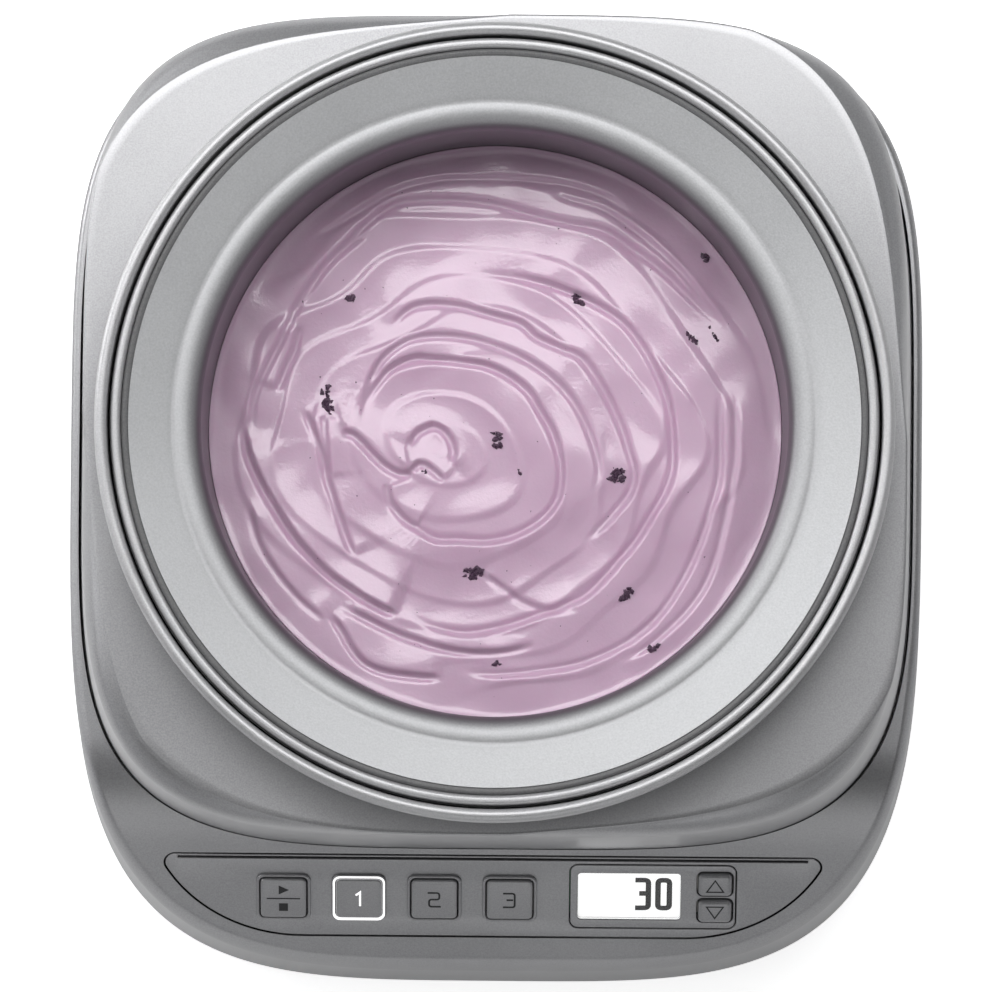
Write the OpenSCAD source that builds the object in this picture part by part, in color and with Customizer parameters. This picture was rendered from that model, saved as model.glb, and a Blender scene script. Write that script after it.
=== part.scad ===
// Ice cream maker: a chilled double-walled bowl turns on a geared spindle inside a
// two-part housing with a sloping control panel.
// The origin is on the table at the middle of the footprint. +Z is up and the panel faces -Y.
// Shapes are drawn round the bowl's upright axis, and on_axis() sets them in place.

/* [Housing] */
// Height of the flat deck above the table
deck_z = 187; // [185:0.5:190]
// Half width of the column at its shoulder, just below the deck
shoulder_half = 96.3; // [96:0.1:97]
// How much wider each side of the column is at its foot
column_flare = 5.2; // [4:0.1:5.4]
// Roundness of the column's outline, larger is squarer
column_power = 4.2; // [4:0.1:4.3]
// Half width of the deck's edge
deck_half = 95.6; // [95:0.1:96]
// Turn of the deck's edge against the column, in degrees
deck_turn = 5; // [0:0.5:6]
// Roundness of the deck's edge
deck_power = 3.65; // [3.4:0.05:4]
// Half width of the foot at the table
foot_half = 106; // [106:0.5:108]
// Reach of the foot at the front
foot_front = 128; // [126:0.5:130]
// Slope of the control panel, in degrees
panel_slope = 34; // [30:0.5:36]
// Wall of the moulded housings
wall = 2.5; // [2.3:0.1:2.8]

/* [Bowl] */
// Height of the collar's rim
rim_z = 205; // [204:0.5:206]
// Outer radius of the fixed collar
collar_r = 92.8; // [92.6:0.1:93]
// Outer radius of the bowl's turning rim
bowl_rim_r = 89; // [88.8:0.1:89.1]
// Inner radius of the cup at its lip
cup_lip_r = 68.2; // [67:0.1:68.4]
// Inner radius of the cup at its floor
cup_floor_r = 65.4; // [64:0.1:66]
// Height of the frozen dessert in the cup
fill_z = 162; // [120:1:164]

/* [Drive] */
// Module of the gear teeth
gear_module = 0.9; // [0.89:0.005:0.9]
// Teeth on each pinion
pinion_teeth = 14; // [13:1:14]
// Teeth on the two intermediate wheels
wheel_teeth = 56; // [55:1:56]
// Teeth on the spindle's wheel
spindle_teeth = 70; // [68:1:70]
// Radius of the spindle
spindle_r = 5; // [5:0.1:5.2]

/* [Controls] */
// Side of a square key's frame
key_frame = 13.3; // [13:0.1:14]
// Spacing of the four square keys
key_pitch = 18.45; // [18:0.05:19]
// Travel of a key
key_travel = 0.7; // [0.5:0.1:0.8]
// Width of the display's face
display_w = 25.3; // [24:0.1:26]
// Height of the display's face
display_h = 13.4; // [12:0.1:14]

/* [Hidden] */
$fn = 96;

silver = [0.66, 0.67, 0.69];
bright_silver = [0.78, 0.79, 0.80];
dark_plastic = [0.12, 0.12, 0.13];
steel = [0.62, 0.63, 0.65];
brass = [0.80, 0.66, 0.34];
white_nylon = [0.93, 0.92, 0.88];
board_green = [0.10, 0.33, 0.18];

// Sections round each lofted housing
loft_steps = 96;

// Heights
cover_z = 4.2;
cover_t = 2.5;
skirt_z = 4;
seat_z = 57;
ledge_t = 2.5;
shoulder_z = deck_z - 6.5;
deck_t = 2.5;
panel_top_z = 62;
panel_top_y = -96;
ease_length = 26;

// Outlines
column_front = 95.8;
column_gap = 0.2;
ledge_w = 4.2;
front_half_x = 98;
front_half_y = 95.6;
front_power = 3.2;
foot_power_back = 4.2;
foot_power_front = 3.8;
foot_draft = 2.4;
foot_draft_z = 55;
foot_wall_top = 4.5;
skirt_in = 1.2;
skirt_h = 1.5;
// The foot's top edge: width and height of its roll, and how far it turns; in front it ends in a crease
side_roll = 2.4;
front_roll_w = 0.6;
front_roll_h = 3.6;
front_crease = 35;
well_hole_r = 90;

// Distance from the axis to a superellipse in direction a
function super_r(a, half_x, half_y, power) =
    pow(pow(abs(cos(a)) / half_x, power) + pow(abs(sin(a)) / half_y, power), -1 / power);

// The column's outline at height z: it flares to the foot on three sides and stays upright in front
function column_r(a, z) =
    let (t = (shoulder_z - z) / (shoulder_z - seat_z))
    let (side = shoulder_half + t * column_flare)
    super_r(a, side, sin(a) >= 0 ? side : column_front + 0.3 * t, column_power);

// The deck's edge is turned against the column, with a rounder corner at the front left
function deck_r(a) = min(
    super_r(a - deck_turn, deck_half, deck_half, deck_power),
    a > 180 && a < 275 ? super_r(a, front_half_x, front_half_y, front_power) : shoulder_half * 2,
    column_r(a, shoulder_z) - 0.1);

// The foot's outline at height z
function foot_r(a, z) =
    let (in = foot_draft * (z - skirt_z) / foot_draft_z)
    super_r(a, foot_half - in, (sin(a) >= 0 ? foot_half + 0.5 : foot_front) - in,
            sin(a) >= 0 ? foot_power_back : foot_power_front);

// Height of the foot's top: the panel's slope in front, eased to level along the sides
function foot_top(y) =
    let (u = min(1, (y - panel_top_y) / ease_length))
    panel_top_z + tan(panel_slope) * (u <= 0 ? y - panel_top_y : ease_length * (u - u * u / 2));

// The bowl's axis stands behind the middle of the footprint
bowl_y = (foot_front - foot_half - 0.5) / 2;

module on_axis() {
    translate([0, bowl_y, 0])
        children();
}

function ease(t) = max(0, min(1, t));
function mix(p, q, t) = p + (q - p) * t;
function reverse(list) = [for (i = [len(list) - 1:-1:0]) list[i]];

function arc(cx, cz, r, from, to, steps) =
    [for (i = [0:steps]) let (f = mix(from, to, i / steps)) [cx + r * cos(f), cz + r * sin(f)]];

// A closed loft through closed sections of [radius, height] pairs, one for each direction
module ring_loft(sections) {
    turns = len(sections);
    count = len(sections[0]);
    points = [for (i = [0:turns - 1]) let (a = i * 360 / turns) for (p = sections[i])
        [p[0] * cos(a), p[0] * sin(a), p[1]]];
    faces = [for (i = [0:turns - 1]) for (k = [0:count - 1])
        let (j = (i + 1) % turns, m = (k + 1) % count)
        each [[i * count + k, i * count + m, j * count + k], [j * count + k, i * count + m, j * count + m]]];
    polyhedron(points, faces);
}

function directions() = [for (i = [0:loft_steps - 1]) i * 360 / loft_steps];

// ---- Upper housing: column and deck ----

// The crown arc from the column's wall turns this far before it meets the deck's edge
crown_turn = 60;
deck_edge = 0.5;
deck_edge_drop = 0.3;
inner_chamfer = 2;
seat_gap = 0.05;
column_boss_r = 4;
column_boss_h = 22;
well_boss_r = 4.2;

function column_section(a) =
    let (sh = column_r(a, shoulder_z), dk = deck_r(a), rise = deck_z - deck_edge_drop - shoulder_z)
    let (across = function (f) (1 - cos(f)) / (1 - cos(crown_turn)), low_z = seat_z + seat_gap)
    concat(
        [[column_r(a, low_z), low_z]],
        [for (i = [0:4]) let (f = crown_turn * i / 4)
            [mix(sh, dk, across(f)), shoulder_z + rise * sin(f) / sin(crown_turn)]],
        [[dk - deck_edge, deck_z],
         [well_hole_r, deck_z],
         [well_hole_r, deck_z - deck_t],
         [sh - wall - inner_chamfer, deck_z - deck_t],
         [sh - wall, deck_z - deck_t - inner_chamfer - 1],
         [column_r(a, seat_z) - wall, low_z]]);

column_screw_angles = [40, 140, 220, 320];
column_screw_inset = 5.6;
column_boss_z = seat_z - 4;
well_ear_angles = [45, 135, 225, 315];
well_ear_r = 99;
well_boss_z = 176;
screw_r = 1.5;
screw_clear = 0.05;
peg_r = 0.9;
peg_ring_r = 91.3;

module at_column_screws() {
    for (a = column_screw_angles)
        rotate([0, 0, a])
            translate([column_r(a, seat_z) - column_screw_inset, 0, 0])
                children();
}

module at_well_screws() {
    for (a = well_ear_angles)
        rotate([0, 0, a])
            translate([well_ear_r, 0, 0])
                children();
}

module at_collar_pegs() {
    for (a = [22.5:45:360])
        rotate([0, 0, a])
            translate([peg_ring_r, 0, 0])
                children();
}

module upper_housing() {
    color(silver)
    on_axis()
    difference() {
        union() {
            ring_loft([for (a = directions()) column_section(a)]);
            at_column_screws()
                translate([0, 0, seat_z + 0.5])
                    cylinder(h = column_boss_h, r = column_boss_r);
            at_well_screws()
                translate([0, 0, well_boss_z])
                    cylinder(h = deck_z - deck_t - well_boss_z + 0.5, r = well_boss_r);
        }
        at_column_screws()
            translate([0, 0, seat_z - 1])
                cylinder(h = 16, r = screw_r + screw_clear);
        at_well_screws()
            translate([0, 0, well_boss_z - 1])
                cylinder(h = 9, r = screw_r + screw_clear);
        at_collar_pegs()
            translate([0, 0, deck_z - deck_t - 1])
                cylinder(h = deck_t + 2, r = peg_r + screw_clear, $fn = 24);
    }
}

// ---- Lower housing: the foot, its sloping front and the seat for the column ----

function foot_section(a) =
    let (edge = foot_r(a, foot_draft_z), hole = column_r(a, seat_z) + column_gap)
    let (front = pow(max(0, -sin(a)), 2), room = 0.8 * (edge - hole), turn = 90 - front_crease * front)
    let (roll_w = min(side_roll + front_roll_w * front, room))
    let (roll_h = min(side_roll + front_roll_h * front, room))
    let (outer = edge - wall, inner = min(hole + 2, outer - 0.4))
    let (open = ease((outer - hole - 2) / 6), base = seat_z - ledge_t)
    let (inside = function (r) base + 0.1 + (foot_top(r * sin(a)) - foot_wall_top - base) * open)
    concat(
        [[foot_r(a, skirt_z) - skirt_in, skirt_z], [foot_r(a, skirt_z + skirt_h), skirt_z + skirt_h]],
        [for (i = [0:4]) let (f = turn * i / 4, r = edge - roll_w * (1 - cos(f)) / (1 - cos(turn)))
            [r, foot_top(r * sin(a)) - roll_h * (1 - sin(f) / sin(turn))]],
        [for (t = [0.25, 0.5, 0.75, 1]) let (r = mix(edge - roll_w, hole, t)) [r, foot_top(r * sin(a))]],
        [[hole, seat_z], [hole - ledge_w, seat_z], [hole - ledge_w, base],
         [inner, base], [inner, inside(inner)], [outer, inside(outer)],
         [foot_r(a, skirt_z) - wall - skirt_in, skirt_z]]);

cover_boss_r = 5;
screw_head_r = 3.3;
front_screw_r = 124;
back_screw_r = 115;
cover_screw_places = [[45, back_screw_r, 54.8], [135, back_screw_r, 54.8],
                      [225, front_screw_r, 62.5], [315, front_screw_r, 62.5]];

module at_cover_screws() {
    for (p = cover_screw_places)
        rotate([0, 0, p[0]])
            translate([p[1], 0, 0])
                children();
}

gland_x = 24;
gland_z = 18;
gland_r = 6.5;
gland_barrel_r = 5;
gland_recess = 1;
cord_hole_r = 3.6;
// The foot's back wall at the gland's height
back_y = foot_half + 0.5 - foot_draft * (gland_z - skirt_z) / foot_draft_z;

module lower_housing() {
    color(silver)
    on_axis()
    difference() {
        union() {
            ring_loft([for (a = directions()) foot_section(a)]);
            for (p = cover_screw_places)
                rotate([0, 0, p[0]])
                    translate([p[1], 0, cover_z + cover_t + 0.1])
                        cylinder(h = p[2] - cover_z - cover_t - 0.1, r = cover_boss_r);
            at_column_screws()
                translate([0, 0, column_boss_z])
                    cylinder(h = seat_z - 0.4 - column_boss_z, r = column_boss_r + 1);
        }
        at_column_screws()
            translate([0, 0, column_boss_z - 1])
                cylinder(h = 6, r = screw_r + 0.3);
        at_cover_screws()
            cylinder(h = 20, r = screw_r + screw_clear);
        on_panel()
            translate([0, 0, -panel_t - 0.1])
                linear_extrude(height = panel_t + 6)
                    panel_shape(-panel_gap);
        on_panel()
            translate([0, 0, -9])
                linear_extrude(height = 12)
                    panel_shape(panel_ledge);
        translate([gland_x, back_y, gland_z])
            rotate([-90, 0, 0]) {
                translate([0, 0, -10])
                    cylinder(h = 15, r = gland_barrel_r + 0.1);
                translate([0, 0, -gland_recess])
                    cylinder(h = 5, r = gland_r + 0.3);
            }
    }
}

// ---- Bottom cover and feet ----

foot_pad_r = 10;
foot_pad_places = [[-68, -92], [68, -92], [-64, 72], [64, 72]];
case_ears = [[-31, -23], [31, -23], [33.5, 47], [-8.5, 71]];
cover_outline_gap = 0.4;
vent_w = 3;
vent_l = 30;
vent_x = 62;
vent_y = 20;
vent_pitch = 6.5;
cover_rib_places = [-54, -18, 18, 54];
cover_rib = [1.8, 62, cover_t + 4];
foot_stem_r = 3;

function outline_points(inset) =
    [for (a = directions()) let (r = foot_r(a, skirt_z) - inset) [r * cos(a), r * sin(a)]];

module slot_shape(length, width) {
    union() {
        square([length - width, width], center = true);
        for (s = [-1, 1])
            translate([s * (length - width) / 2, 0])
                circle(d = width, $fn = 24);
    }
}

module bottom_cover() {
    inset = wall + skirt_in + cover_outline_gap;
    color(dark_plastic)
    on_axis()
    difference() {
        union() {
            translate([0, 0, cover_z])
                linear_extrude(height = cover_t)
                    polygon(outline_points(inset));
            for (p = case_ears)
                translate([p[0], p[1], cover_z])
                    cylinder(h = case_floor_z - cover_z - 0.05, r = case_ear_r);
            for (p = board_posts)
                translate([p[0], p[1], cover_z])
                    cylinder(h = board_z - cover_z - 0.05, r = 3.5);
            for (p = foot_pad_places)
                translate([p[0], p[1], cover_z])
                    cylinder(h = cover_t + 1.5, r = foot_pad_r + 2);
            // stiffening ribs between the panel end and the gearbox
            for (x = cover_rib_places)
                translate([x - cover_rib[0] / 2, -104, cover_z])
                    cube(cover_rib);
        }
        for (p = foot_pad_places)
            translate([p[0], p[1], cover_z - 1])
                cylinder(h = cover_t + 4, r = foot_stem_r + 0.05);
        for (p = case_ears)
            translate([p[0], p[1], cover_z - 1]) {
                cylinder(h = 12, r = screw_r + 0.3);
                cylinder(h = 3.2, r = screw_head_r);
            }
        at_cover_screws()
            translate([0, 0, cover_z - 1]) {
                cylinder(h = 8, r = screw_r + 0.3);
                cylinder(h = 2.7, r = screw_head_r);
            }
        for (side = [-1, 1], i = [-3:3])
            translate([side * vent_x, vent_y + i * vent_pitch, cover_z - 1])
                linear_extrude(height = 5)
                    slot_shape(vent_l, vent_w);
    }
}

// A rubber foot: a pad under the cover, and a stem with a barb that snaps in above it
module foot_pad(place) {
    under = cover_z - 0.02;
    barb_z = cover_z + cover_t + 1.6;
    color([0.08, 0.08, 0.08])
    on_axis()
    translate([place[0], place[1], 0])
        rotate_extrude()
            polygon([[0, 0], [foot_pad_r - 1.5, 0], [foot_pad_r, 1.5], [foot_pad_r, under],
                     [foot_stem_r, under], [foot_stem_r, barb_z], [foot_stem_r + 0.6, barb_z + 0.2],
                     [foot_stem_r - 0.8, barb_z + 2.9], [0, barb_z + 2.9]]);
}

// ---- Fixed collar and well ----

collar_in_r = bowl_rim_r + 0.8;
collar_step = 0.6;
well_in_r = 87.4;
well_out_r = 89.4;
well_top_z = rim_z - 7;
well_floor_z = 50;
well_floor_t = 2.5;
ear_t = 2.5;

module deck_collar() {
    top_round = (collar_r - collar_in_r) / 2;
    middle = (collar_r + collar_in_r) / 2;
    color(bright_silver)
    on_axis() {
        rotate_extrude()
            polygon(concat(
                [[collar_in_r, deck_z + 0.02], [collar_r - collar_step, deck_z + 0.02],
                 [collar_r - collar_step, deck_z + 4], [collar_r, deck_z + 5]],
                arc(middle, rim_z - top_round, top_round, 0, 180, 12)));
        at_collar_pegs()
            translate([0, 0, deck_z - deck_t])
                cylinder(h = deck_t + 1, r = peg_r, $fn = 24);
    }
}

module bowl_well() {
    ear_z = well_boss_z - 0.05 - ear_t;
    color(silver)
    on_axis()
    difference() {
        union() {
            rotate_extrude()
                polygon([[9.2, well_floor_z - well_floor_t], [well_out_r - 3, well_floor_z - well_floor_t],
                         [well_out_r, well_floor_z - well_floor_t + 3], [well_out_r, well_top_z],
                         [well_in_r, well_top_z], [well_in_r, well_floor_z + 1.5],
                         [well_in_r - 1.5, well_floor_z], [13, well_floor_z], [12, well_floor_z + 0.6],
                         [9.2, well_floor_z + 0.6]]);
            at_well_screws() {
                translate([0, 0, ear_z])
                    cylinder(h = ear_t, r = 5);
                translate([well_out_r - 0.5 - well_ear_r, -5, ear_z])
                    cube([well_ear_r - well_out_r + 0.5, 10, ear_t]);
            }
            for (a = [0:45:315])
                rotate([0, 0, a])
                    translate([20, -1, well_floor_z - well_floor_t - 3])
                        cube([62, 2, 3.2]);
        }
        at_well_screws()
            translate([0, 0, ear_z - 1])
                cylinder(h = ear_t + 2, r = screw_r + 0.3);
    }
}

// ---- Bowl: spun liner, outer shell, rim ring, seal, coolant and drive socket ----

bowl_floor_z = 53.5;
shell_t = 2.2;
shell_top_r = 85.6;
shell_low_r = 84.4;
shell_corner = 6;
flange_z = rim_z - 5.7;
flange_t = 1.6;
liner_t = 1.6;
liner_edge_r = 84.9;
liner_edge_z = rim_z - 1.7;
funnel_in_r = 73;
funnel_in_z = rim_z - 5.6;
cup_floor_z = 62;
cup_corner = 10;
lip_round = 5;
socket_r = 15.4;

// Inner face of the liner, from the funnel's outer edge over the lip to the centre of the floor
function liner_face(t) = concat(
    [[liner_edge_r, liner_edge_z - t]],
    arc(cup_lip_r + lip_round, funnel_in_z - lip_round, lip_round - t, 75, 180, 8),
    arc(cup_floor_r - cup_corner, cup_floor_z + cup_corner, cup_corner + t, 0, -90, 6),
    [[0, cup_floor_z - t]]);

// The liner, the rim ring and the seal stand on the shell's flange
flange_top_z = flange_z + flange_t + 0.02;

module bowl_liner() {
    color(bright_silver)
    on_axis()
    rotate_extrude()
        polygon(concat(
            liner_face(0), reverse(liner_face(liner_t)),
            [[liner_edge_r - 1.5, liner_edge_z - liner_t], [liner_edge_r - 1.5, flange_top_z],
             [liner_edge_r, flange_top_z]]));
}

module bowl_shell() {
    color([0.55, 0.56, 0.58])
    on_axis()
    rotate_extrude()
        polygon(concat(
            [[socket_r + 0.02, bowl_floor_z]],
            arc(shell_low_r - shell_corner, bowl_floor_z + shell_corner, shell_corner, -90, 0, 6),
            [[shell_top_r, flange_z - 1], [bowl_rim_r - 0.4, flange_z],
             [bowl_rim_r - 0.4, flange_z + flange_t], [shell_top_r - shell_t, flange_z + flange_t]],
            arc(shell_low_r - shell_corner, bowl_floor_z + shell_corner, shell_corner - shell_t, 0, -90, 6),
            [[socket_r + 0.02, bowl_floor_z + shell_t]]));
}

module bowl_rim_ring() {
    top = rim_z - 0.7;
    color(bright_silver)
    on_axis()
    rotate_extrude()
        polygon(concat(
            [[bowl_rim_r - 2.3, flange_top_z], [bowl_rim_r, flange_top_z]],
            arc(bowl_rim_r - 0.9, top - 0.9, 0.9, 0, 90, 4),
            [[bowl_rim_r - 1.8, top], [bowl_rim_r - 2.3, top - 0.5]]));
}

module bowl_seal() {
    in_r = liner_edge_r + 0.05;
    out_r = bowl_rim_r - 2.35;
    color([0.06, 0.06, 0.06])
    on_axis()
    rotate_extrude()
        polygon([[in_r, flange_top_z], [out_r, flange_top_z], [out_r, liner_edge_z - 0.2],
                 [out_r - 0.85, liner_edge_z + 0.2], [in_r, liner_edge_z - 0.3]]);
}

coolant_top_z = rim_z - 13;

module bowl_coolant() {
    under_liner = liner_t + 0.15;
    low_r = shell_low_r - shell_corner;
    color([0.45, 0.65, 0.85])
    on_axis()
    rotate_extrude()
        polygon(concat(
            [[socket_r + 1, bowl_floor_z + shell_t + 0.1]],
            arc(low_r, bowl_floor_z + shell_corner, shell_corner - shell_t - 0.2, -90, 0, 6),
            [[shell_top_r - shell_t - 0.4, coolant_top_z], [cup_lip_r + liner_t + 0.6, coolant_top_z - 4]],
            arc(cup_floor_r - cup_corner, cup_floor_z + cup_corner, cup_corner + under_liner, 0, -90, 6),
            [[socket_r + 1, cup_floor_z - under_liner]]));
}

lobes = 8;
lobe_r = 9;
lobe_depth = 1.2;

// A round outline with soft lobes, for the hub's head and the socket round it
function lobed(r) =
    [for (i = [0:95]) let (a = i * 360 / 96) (r + lobe_depth * cos(lobes * a)) * [cos(a), sin(a)]];

module bowl_socket() {
    color(white_nylon)
    on_axis()
    translate([0, 0, bowl_floor_z])
        linear_extrude(height = cup_floor_z - liner_t - 0.1 - bowl_floor_z)
            difference() {
                circle(r = socket_r);
                polygon(lobed(lobe_r + 0.4));
            }
}

// The frozen dessert fills the cup to fill_z, with a low dome and the waves that the paddle leaves
module ice_cream() {
    gap = 0.1;
    rise = (fill_z - cup_floor_z - cup_corner) / (funnel_in_z - cup_floor_z);
    wall_r = mix(cup_floor_r, cup_lip_r, rise) - gap;
    color([0.80, 0.67, 0.78])
    on_axis()
    rotate_extrude()
        polygon(concat(
            [[0, cup_floor_z + gap]],
            arc(cup_floor_r - cup_corner, cup_floor_z + cup_corner, cup_corner - gap, -90, 0, 6),
            [for (r = [0:3:63]) let (d = (wall_r - 0.2) * (1 - r / 66))
                [d, fill_z + 1.2 * sin(d * 12) + 1.6 * (1 - d / wall_r)]],
            [[0, fill_z + 1.6]]));
}

// ---- Drive: hub, spindle, gears, axles, bushes ----

hub_z = 50.9;
hub_r = 24;
hub_plate_t = 2.3;
hub_head_h = 6.2;
hub_hole_ring_r = 16.5;
hub_hole_r = 3.2;
shaft_low_z = 10.6;
shaft_top_z = 56;
running = 0.05;
push = 0.02;
backlash = 0.12;
pressure_angle = 20;

// Teeth of a spur gear: involute flanks from the base circle to the tip, thinned by the backlash
function gear_points(teeth, turn) =
    let (r = gear_module * teeth / 2, base = r * cos(pressure_angle), tip = r + gear_module)
    let (root = r - 1.25 * gear_module, low = max(root + 0.2, base))
    let (inv = function (q) let (c = acos(min(1, base / q))) tan(c) * 180 / PI - c)
    let (half = 90 / teeth - backlash / r * 90 / PI + inv(r))
    let (flank = [[root, -1], [low, -1], [r, -1], [tip, -1], [tip, 1], [r, 1], [low, 1], [root, 1]])
    [for (i = [0:teeth - 1], p = flank)
        let (q = p[0], a = turn + i * 360 / teeth + p[1] * (half - inv(max(q, base))))
        [q * cos(a), q * sin(a)]];

// Turn of a gear that meshes with a gear of z1 teeth, turned by t1, in direction d from it
function meshed(d, t1, z1, z2) = d + 180 - (t1 - d) * z1 / z2 + 180 / z2;

pair_ws = gear_module * (spindle_teeth + pinion_teeth) / 2;
pair_ww = gear_module * (wheel_teeth + pinion_teeth) / 2;
dir_b = 90;
dir_a = 160;
dir_motor = 215;
place_b = pair_ws * [cos(dir_b), sin(dir_b)];
place_a = place_b + pair_ww * [cos(dir_a), sin(dir_a)];
place_motor = place_a + pair_ww * [cos(dir_motor), sin(dir_motor)];
turn_pinion_b = meshed(dir_b, 0, spindle_teeth, pinion_teeth);
turn_pinion_a = meshed(dir_a, 0, wheel_teeth, pinion_teeth);
turn_pinion_m = meshed(dir_motor, 0, wheel_teeth, pinion_teeth);
axle_r = 2;
spindle_gear_z = 15;
spindle_gear_t = 7;
wheel_b_z = 24;
wheel_a_z = 35;
wheel_t = 4.5;

module drive_hub() {
    color(white_nylon)
    on_axis()
    difference() {
        union() {
            translate([0, 0, hub_z])
                cylinder(h = hub_plate_t, r = hub_r);
            translate([0, 0, hub_z + hub_plate_t - 0.3])
                linear_extrude(height = hub_head_h)
                    polygon(lobed(lobe_r));
        }
        translate([0, 0, hub_z - 1])
            cylinder(h = shaft_top_z - hub_z + 1.1, r = spindle_r + push);
        for (a = [0:60:300])
            rotate([0, 0, a])
                translate([hub_hole_ring_r, 0, hub_z - 1])
                    cylinder(h = 5, r = hub_hole_r);
    }
}

module drive_spindle() {
    color(steel)
    on_axis()
    rotate_extrude()
        polygon([[0, shaft_low_z], [spindle_r - 0.6, shaft_low_z], [spindle_r, shaft_low_z + 0.6],
                 [spindle_r, shaft_top_z - 0.8], [spindle_r - 0.8, shaft_top_z], [0, shaft_top_z]]);
}

module webbed_wheel(teeth, thickness, turn, bore_r, hub_wall) {
    r = gear_module * teeth / 2;
    rim_in = r - 4;
    difference() {
        linear_extrude(height = thickness)
            polygon(gear_points(teeth, turn));
        for (z = [-1, thickness - 1.3])
            translate([0, 0, z])
                difference() {
                    cylinder(h = 2.3, r = rim_in);
                    translate([0, 0, -1])
                        cylinder(h = 5, r = bore_r + hub_wall);
                }
        translate([0, 0, -1])
            cylinder(h = thickness + 2, r = bore_r);
    }
}

module spindle_gear() {
    color(white_nylon)
    on_axis()
    translate([0, 0, spindle_gear_z])
        webbed_wheel(spindle_teeth, spindle_gear_t, 0, spindle_r + push, 4);
}

module compound_gear(wheel_z, pinion_z, pinion_top, pinion_turn) {
    difference() {
        union() {
            translate([0, 0, wheel_z])
                webbed_wheel(wheel_teeth, wheel_t, 0, axle_r + running, 3);
            translate([0, 0, pinion_z])
                linear_extrude(height = pinion_top - pinion_z)
                    polygon(gear_points(pinion_teeth, pinion_turn));
        }
        translate([0, 0, pinion_z - 1])
            cylinder(h = wheel_z + wheel_t - pinion_z + 2, r = axle_r + running);
    }
}

module gear_b() {
    color(white_nylon)
    on_axis()
    translate([place_b[0], place_b[1], 0])
        compound_gear(wheel_b_z, 14, wheel_b_z + 0.5, turn_pinion_b);
}

module gear_a() {
    color(white_nylon)
    on_axis()
    translate([place_a[0], place_a[1], 0])
        compound_gear(wheel_a_z, wheel_b_z - 0.5, wheel_a_z + 0.5, turn_pinion_a);
}

motor_shaft_r = 1.6;
motor_shaft_low = 14;
motor_shaft_top = 40.6;

module motor_pinion() {
    color(brass)
    on_axis()
    translate([place_motor[0], place_motor[1], wheel_a_z - 0.3])
        linear_extrude(height = wheel_t + 0.8)
            difference() {
                polygon(gear_points(pinion_teeth, turn_pinion_m));
                circle(r = motor_shaft_r + push);
            }
}

module motor_shaft() {
    color(steel)
    on_axis()
    translate([place_motor[0], place_motor[1], motor_shaft_low])
        cylinder(h = motor_shaft_top - motor_shaft_low, r = motor_shaft_r);
}

module axle(place, low, high) {
    color(steel)
    on_axis()
    translate([place[0], place[1], low])
        cylinder(h = high - low, r = axle_r);
}

module bush(low, high, outer, flange_z) {
    color(brass)
    on_axis()
    difference() {
        union() {
            translate([0, 0, low])
                cylinder(h = high - low, r = outer);
            translate([0, 0, flange_z])
                cylinder(h = 1, r = outer + 1.5);
        }
        translate([0, 0, low - 1])
            cylinder(h = high - low + 2, r = spindle_r + running);
    }
}

module shaft_seal() {
    color([0.06, 0.06, 0.06])
    on_axis()
    rotate_extrude()
        polygon([[spindle_r + 1.2, 47.6], [9.15, 47.6], [9.15, 50.3], [7.5, 50.3], [spindle_r + 0.35, 49.6],
                 [spindle_r + 0.35, 49.2], [spindle_r + 1.2, 48.8]]);
}

// ---- Gearbox case and motor ----

case_floor_z = 10;
case_floor_t = 2;
case_top_z = 41;
shelf_z = 31.5;
lid_t = 2.5;
lid_top_z = case_top_z + lid_t + 0.05;
case_wall = 2.2;
case_ear_r = 5.5;
case_ear_h = 9;
case_room = 1.8;
bar_inset = 2;
bush_low_r = 7.5;
bush_top_r = 8;

motor_screw_r = 11.5;

function room_r(teeth) = gear_module * (teeth / 2 + 1) + case_room;

module bar_between(p, q, width) {
    d = q - p;
    translate([(p[0] + q[0]) / 2, (p[1] + q[1]) / 2])
        rotate([0, 0, atan2(d[1], d[0])])
            square([norm(d), width], center = true);
}

// Room for the spindle's wheel, wheel B and pinion A
module low_shape(grow) {
    wheel_r = room_r(wheel_teeth) + grow;
    pinion_r = room_r(pinion_teeth) + grow;
    union() {
        circle(r = room_r(spindle_teeth) + grow);
        translate(place_b)
            circle(r = wheel_r);
        bar_between([0, 0], place_b, 2 * wheel_r - bar_inset);
        translate(place_a)
            circle(r = pinion_r);
        bar_between(place_b, place_a, 2 * pinion_r - bar_inset);
    }
}

// Room for wheel A and the motor's pinion, above the motor
module high_shape(grow) {
    motor_room = motor_screw_r + 4.5 + grow;
    union() {
        translate(place_a)
            circle(r = room_r(wheel_teeth) + grow);
        translate(place_motor)
            circle(r = motor_room);
        bar_between(place_a, place_motor, 2 * motor_room - bar_inset);
    }
}

module at_motor_screws() {
    translate([place_motor[0], place_motor[1], 0])
        rotate([0, 0, dir_motor + 90])
            for (s = [-1, 1])
                translate([s * motor_screw_r, 0, 0])
                    children();
}

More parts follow.
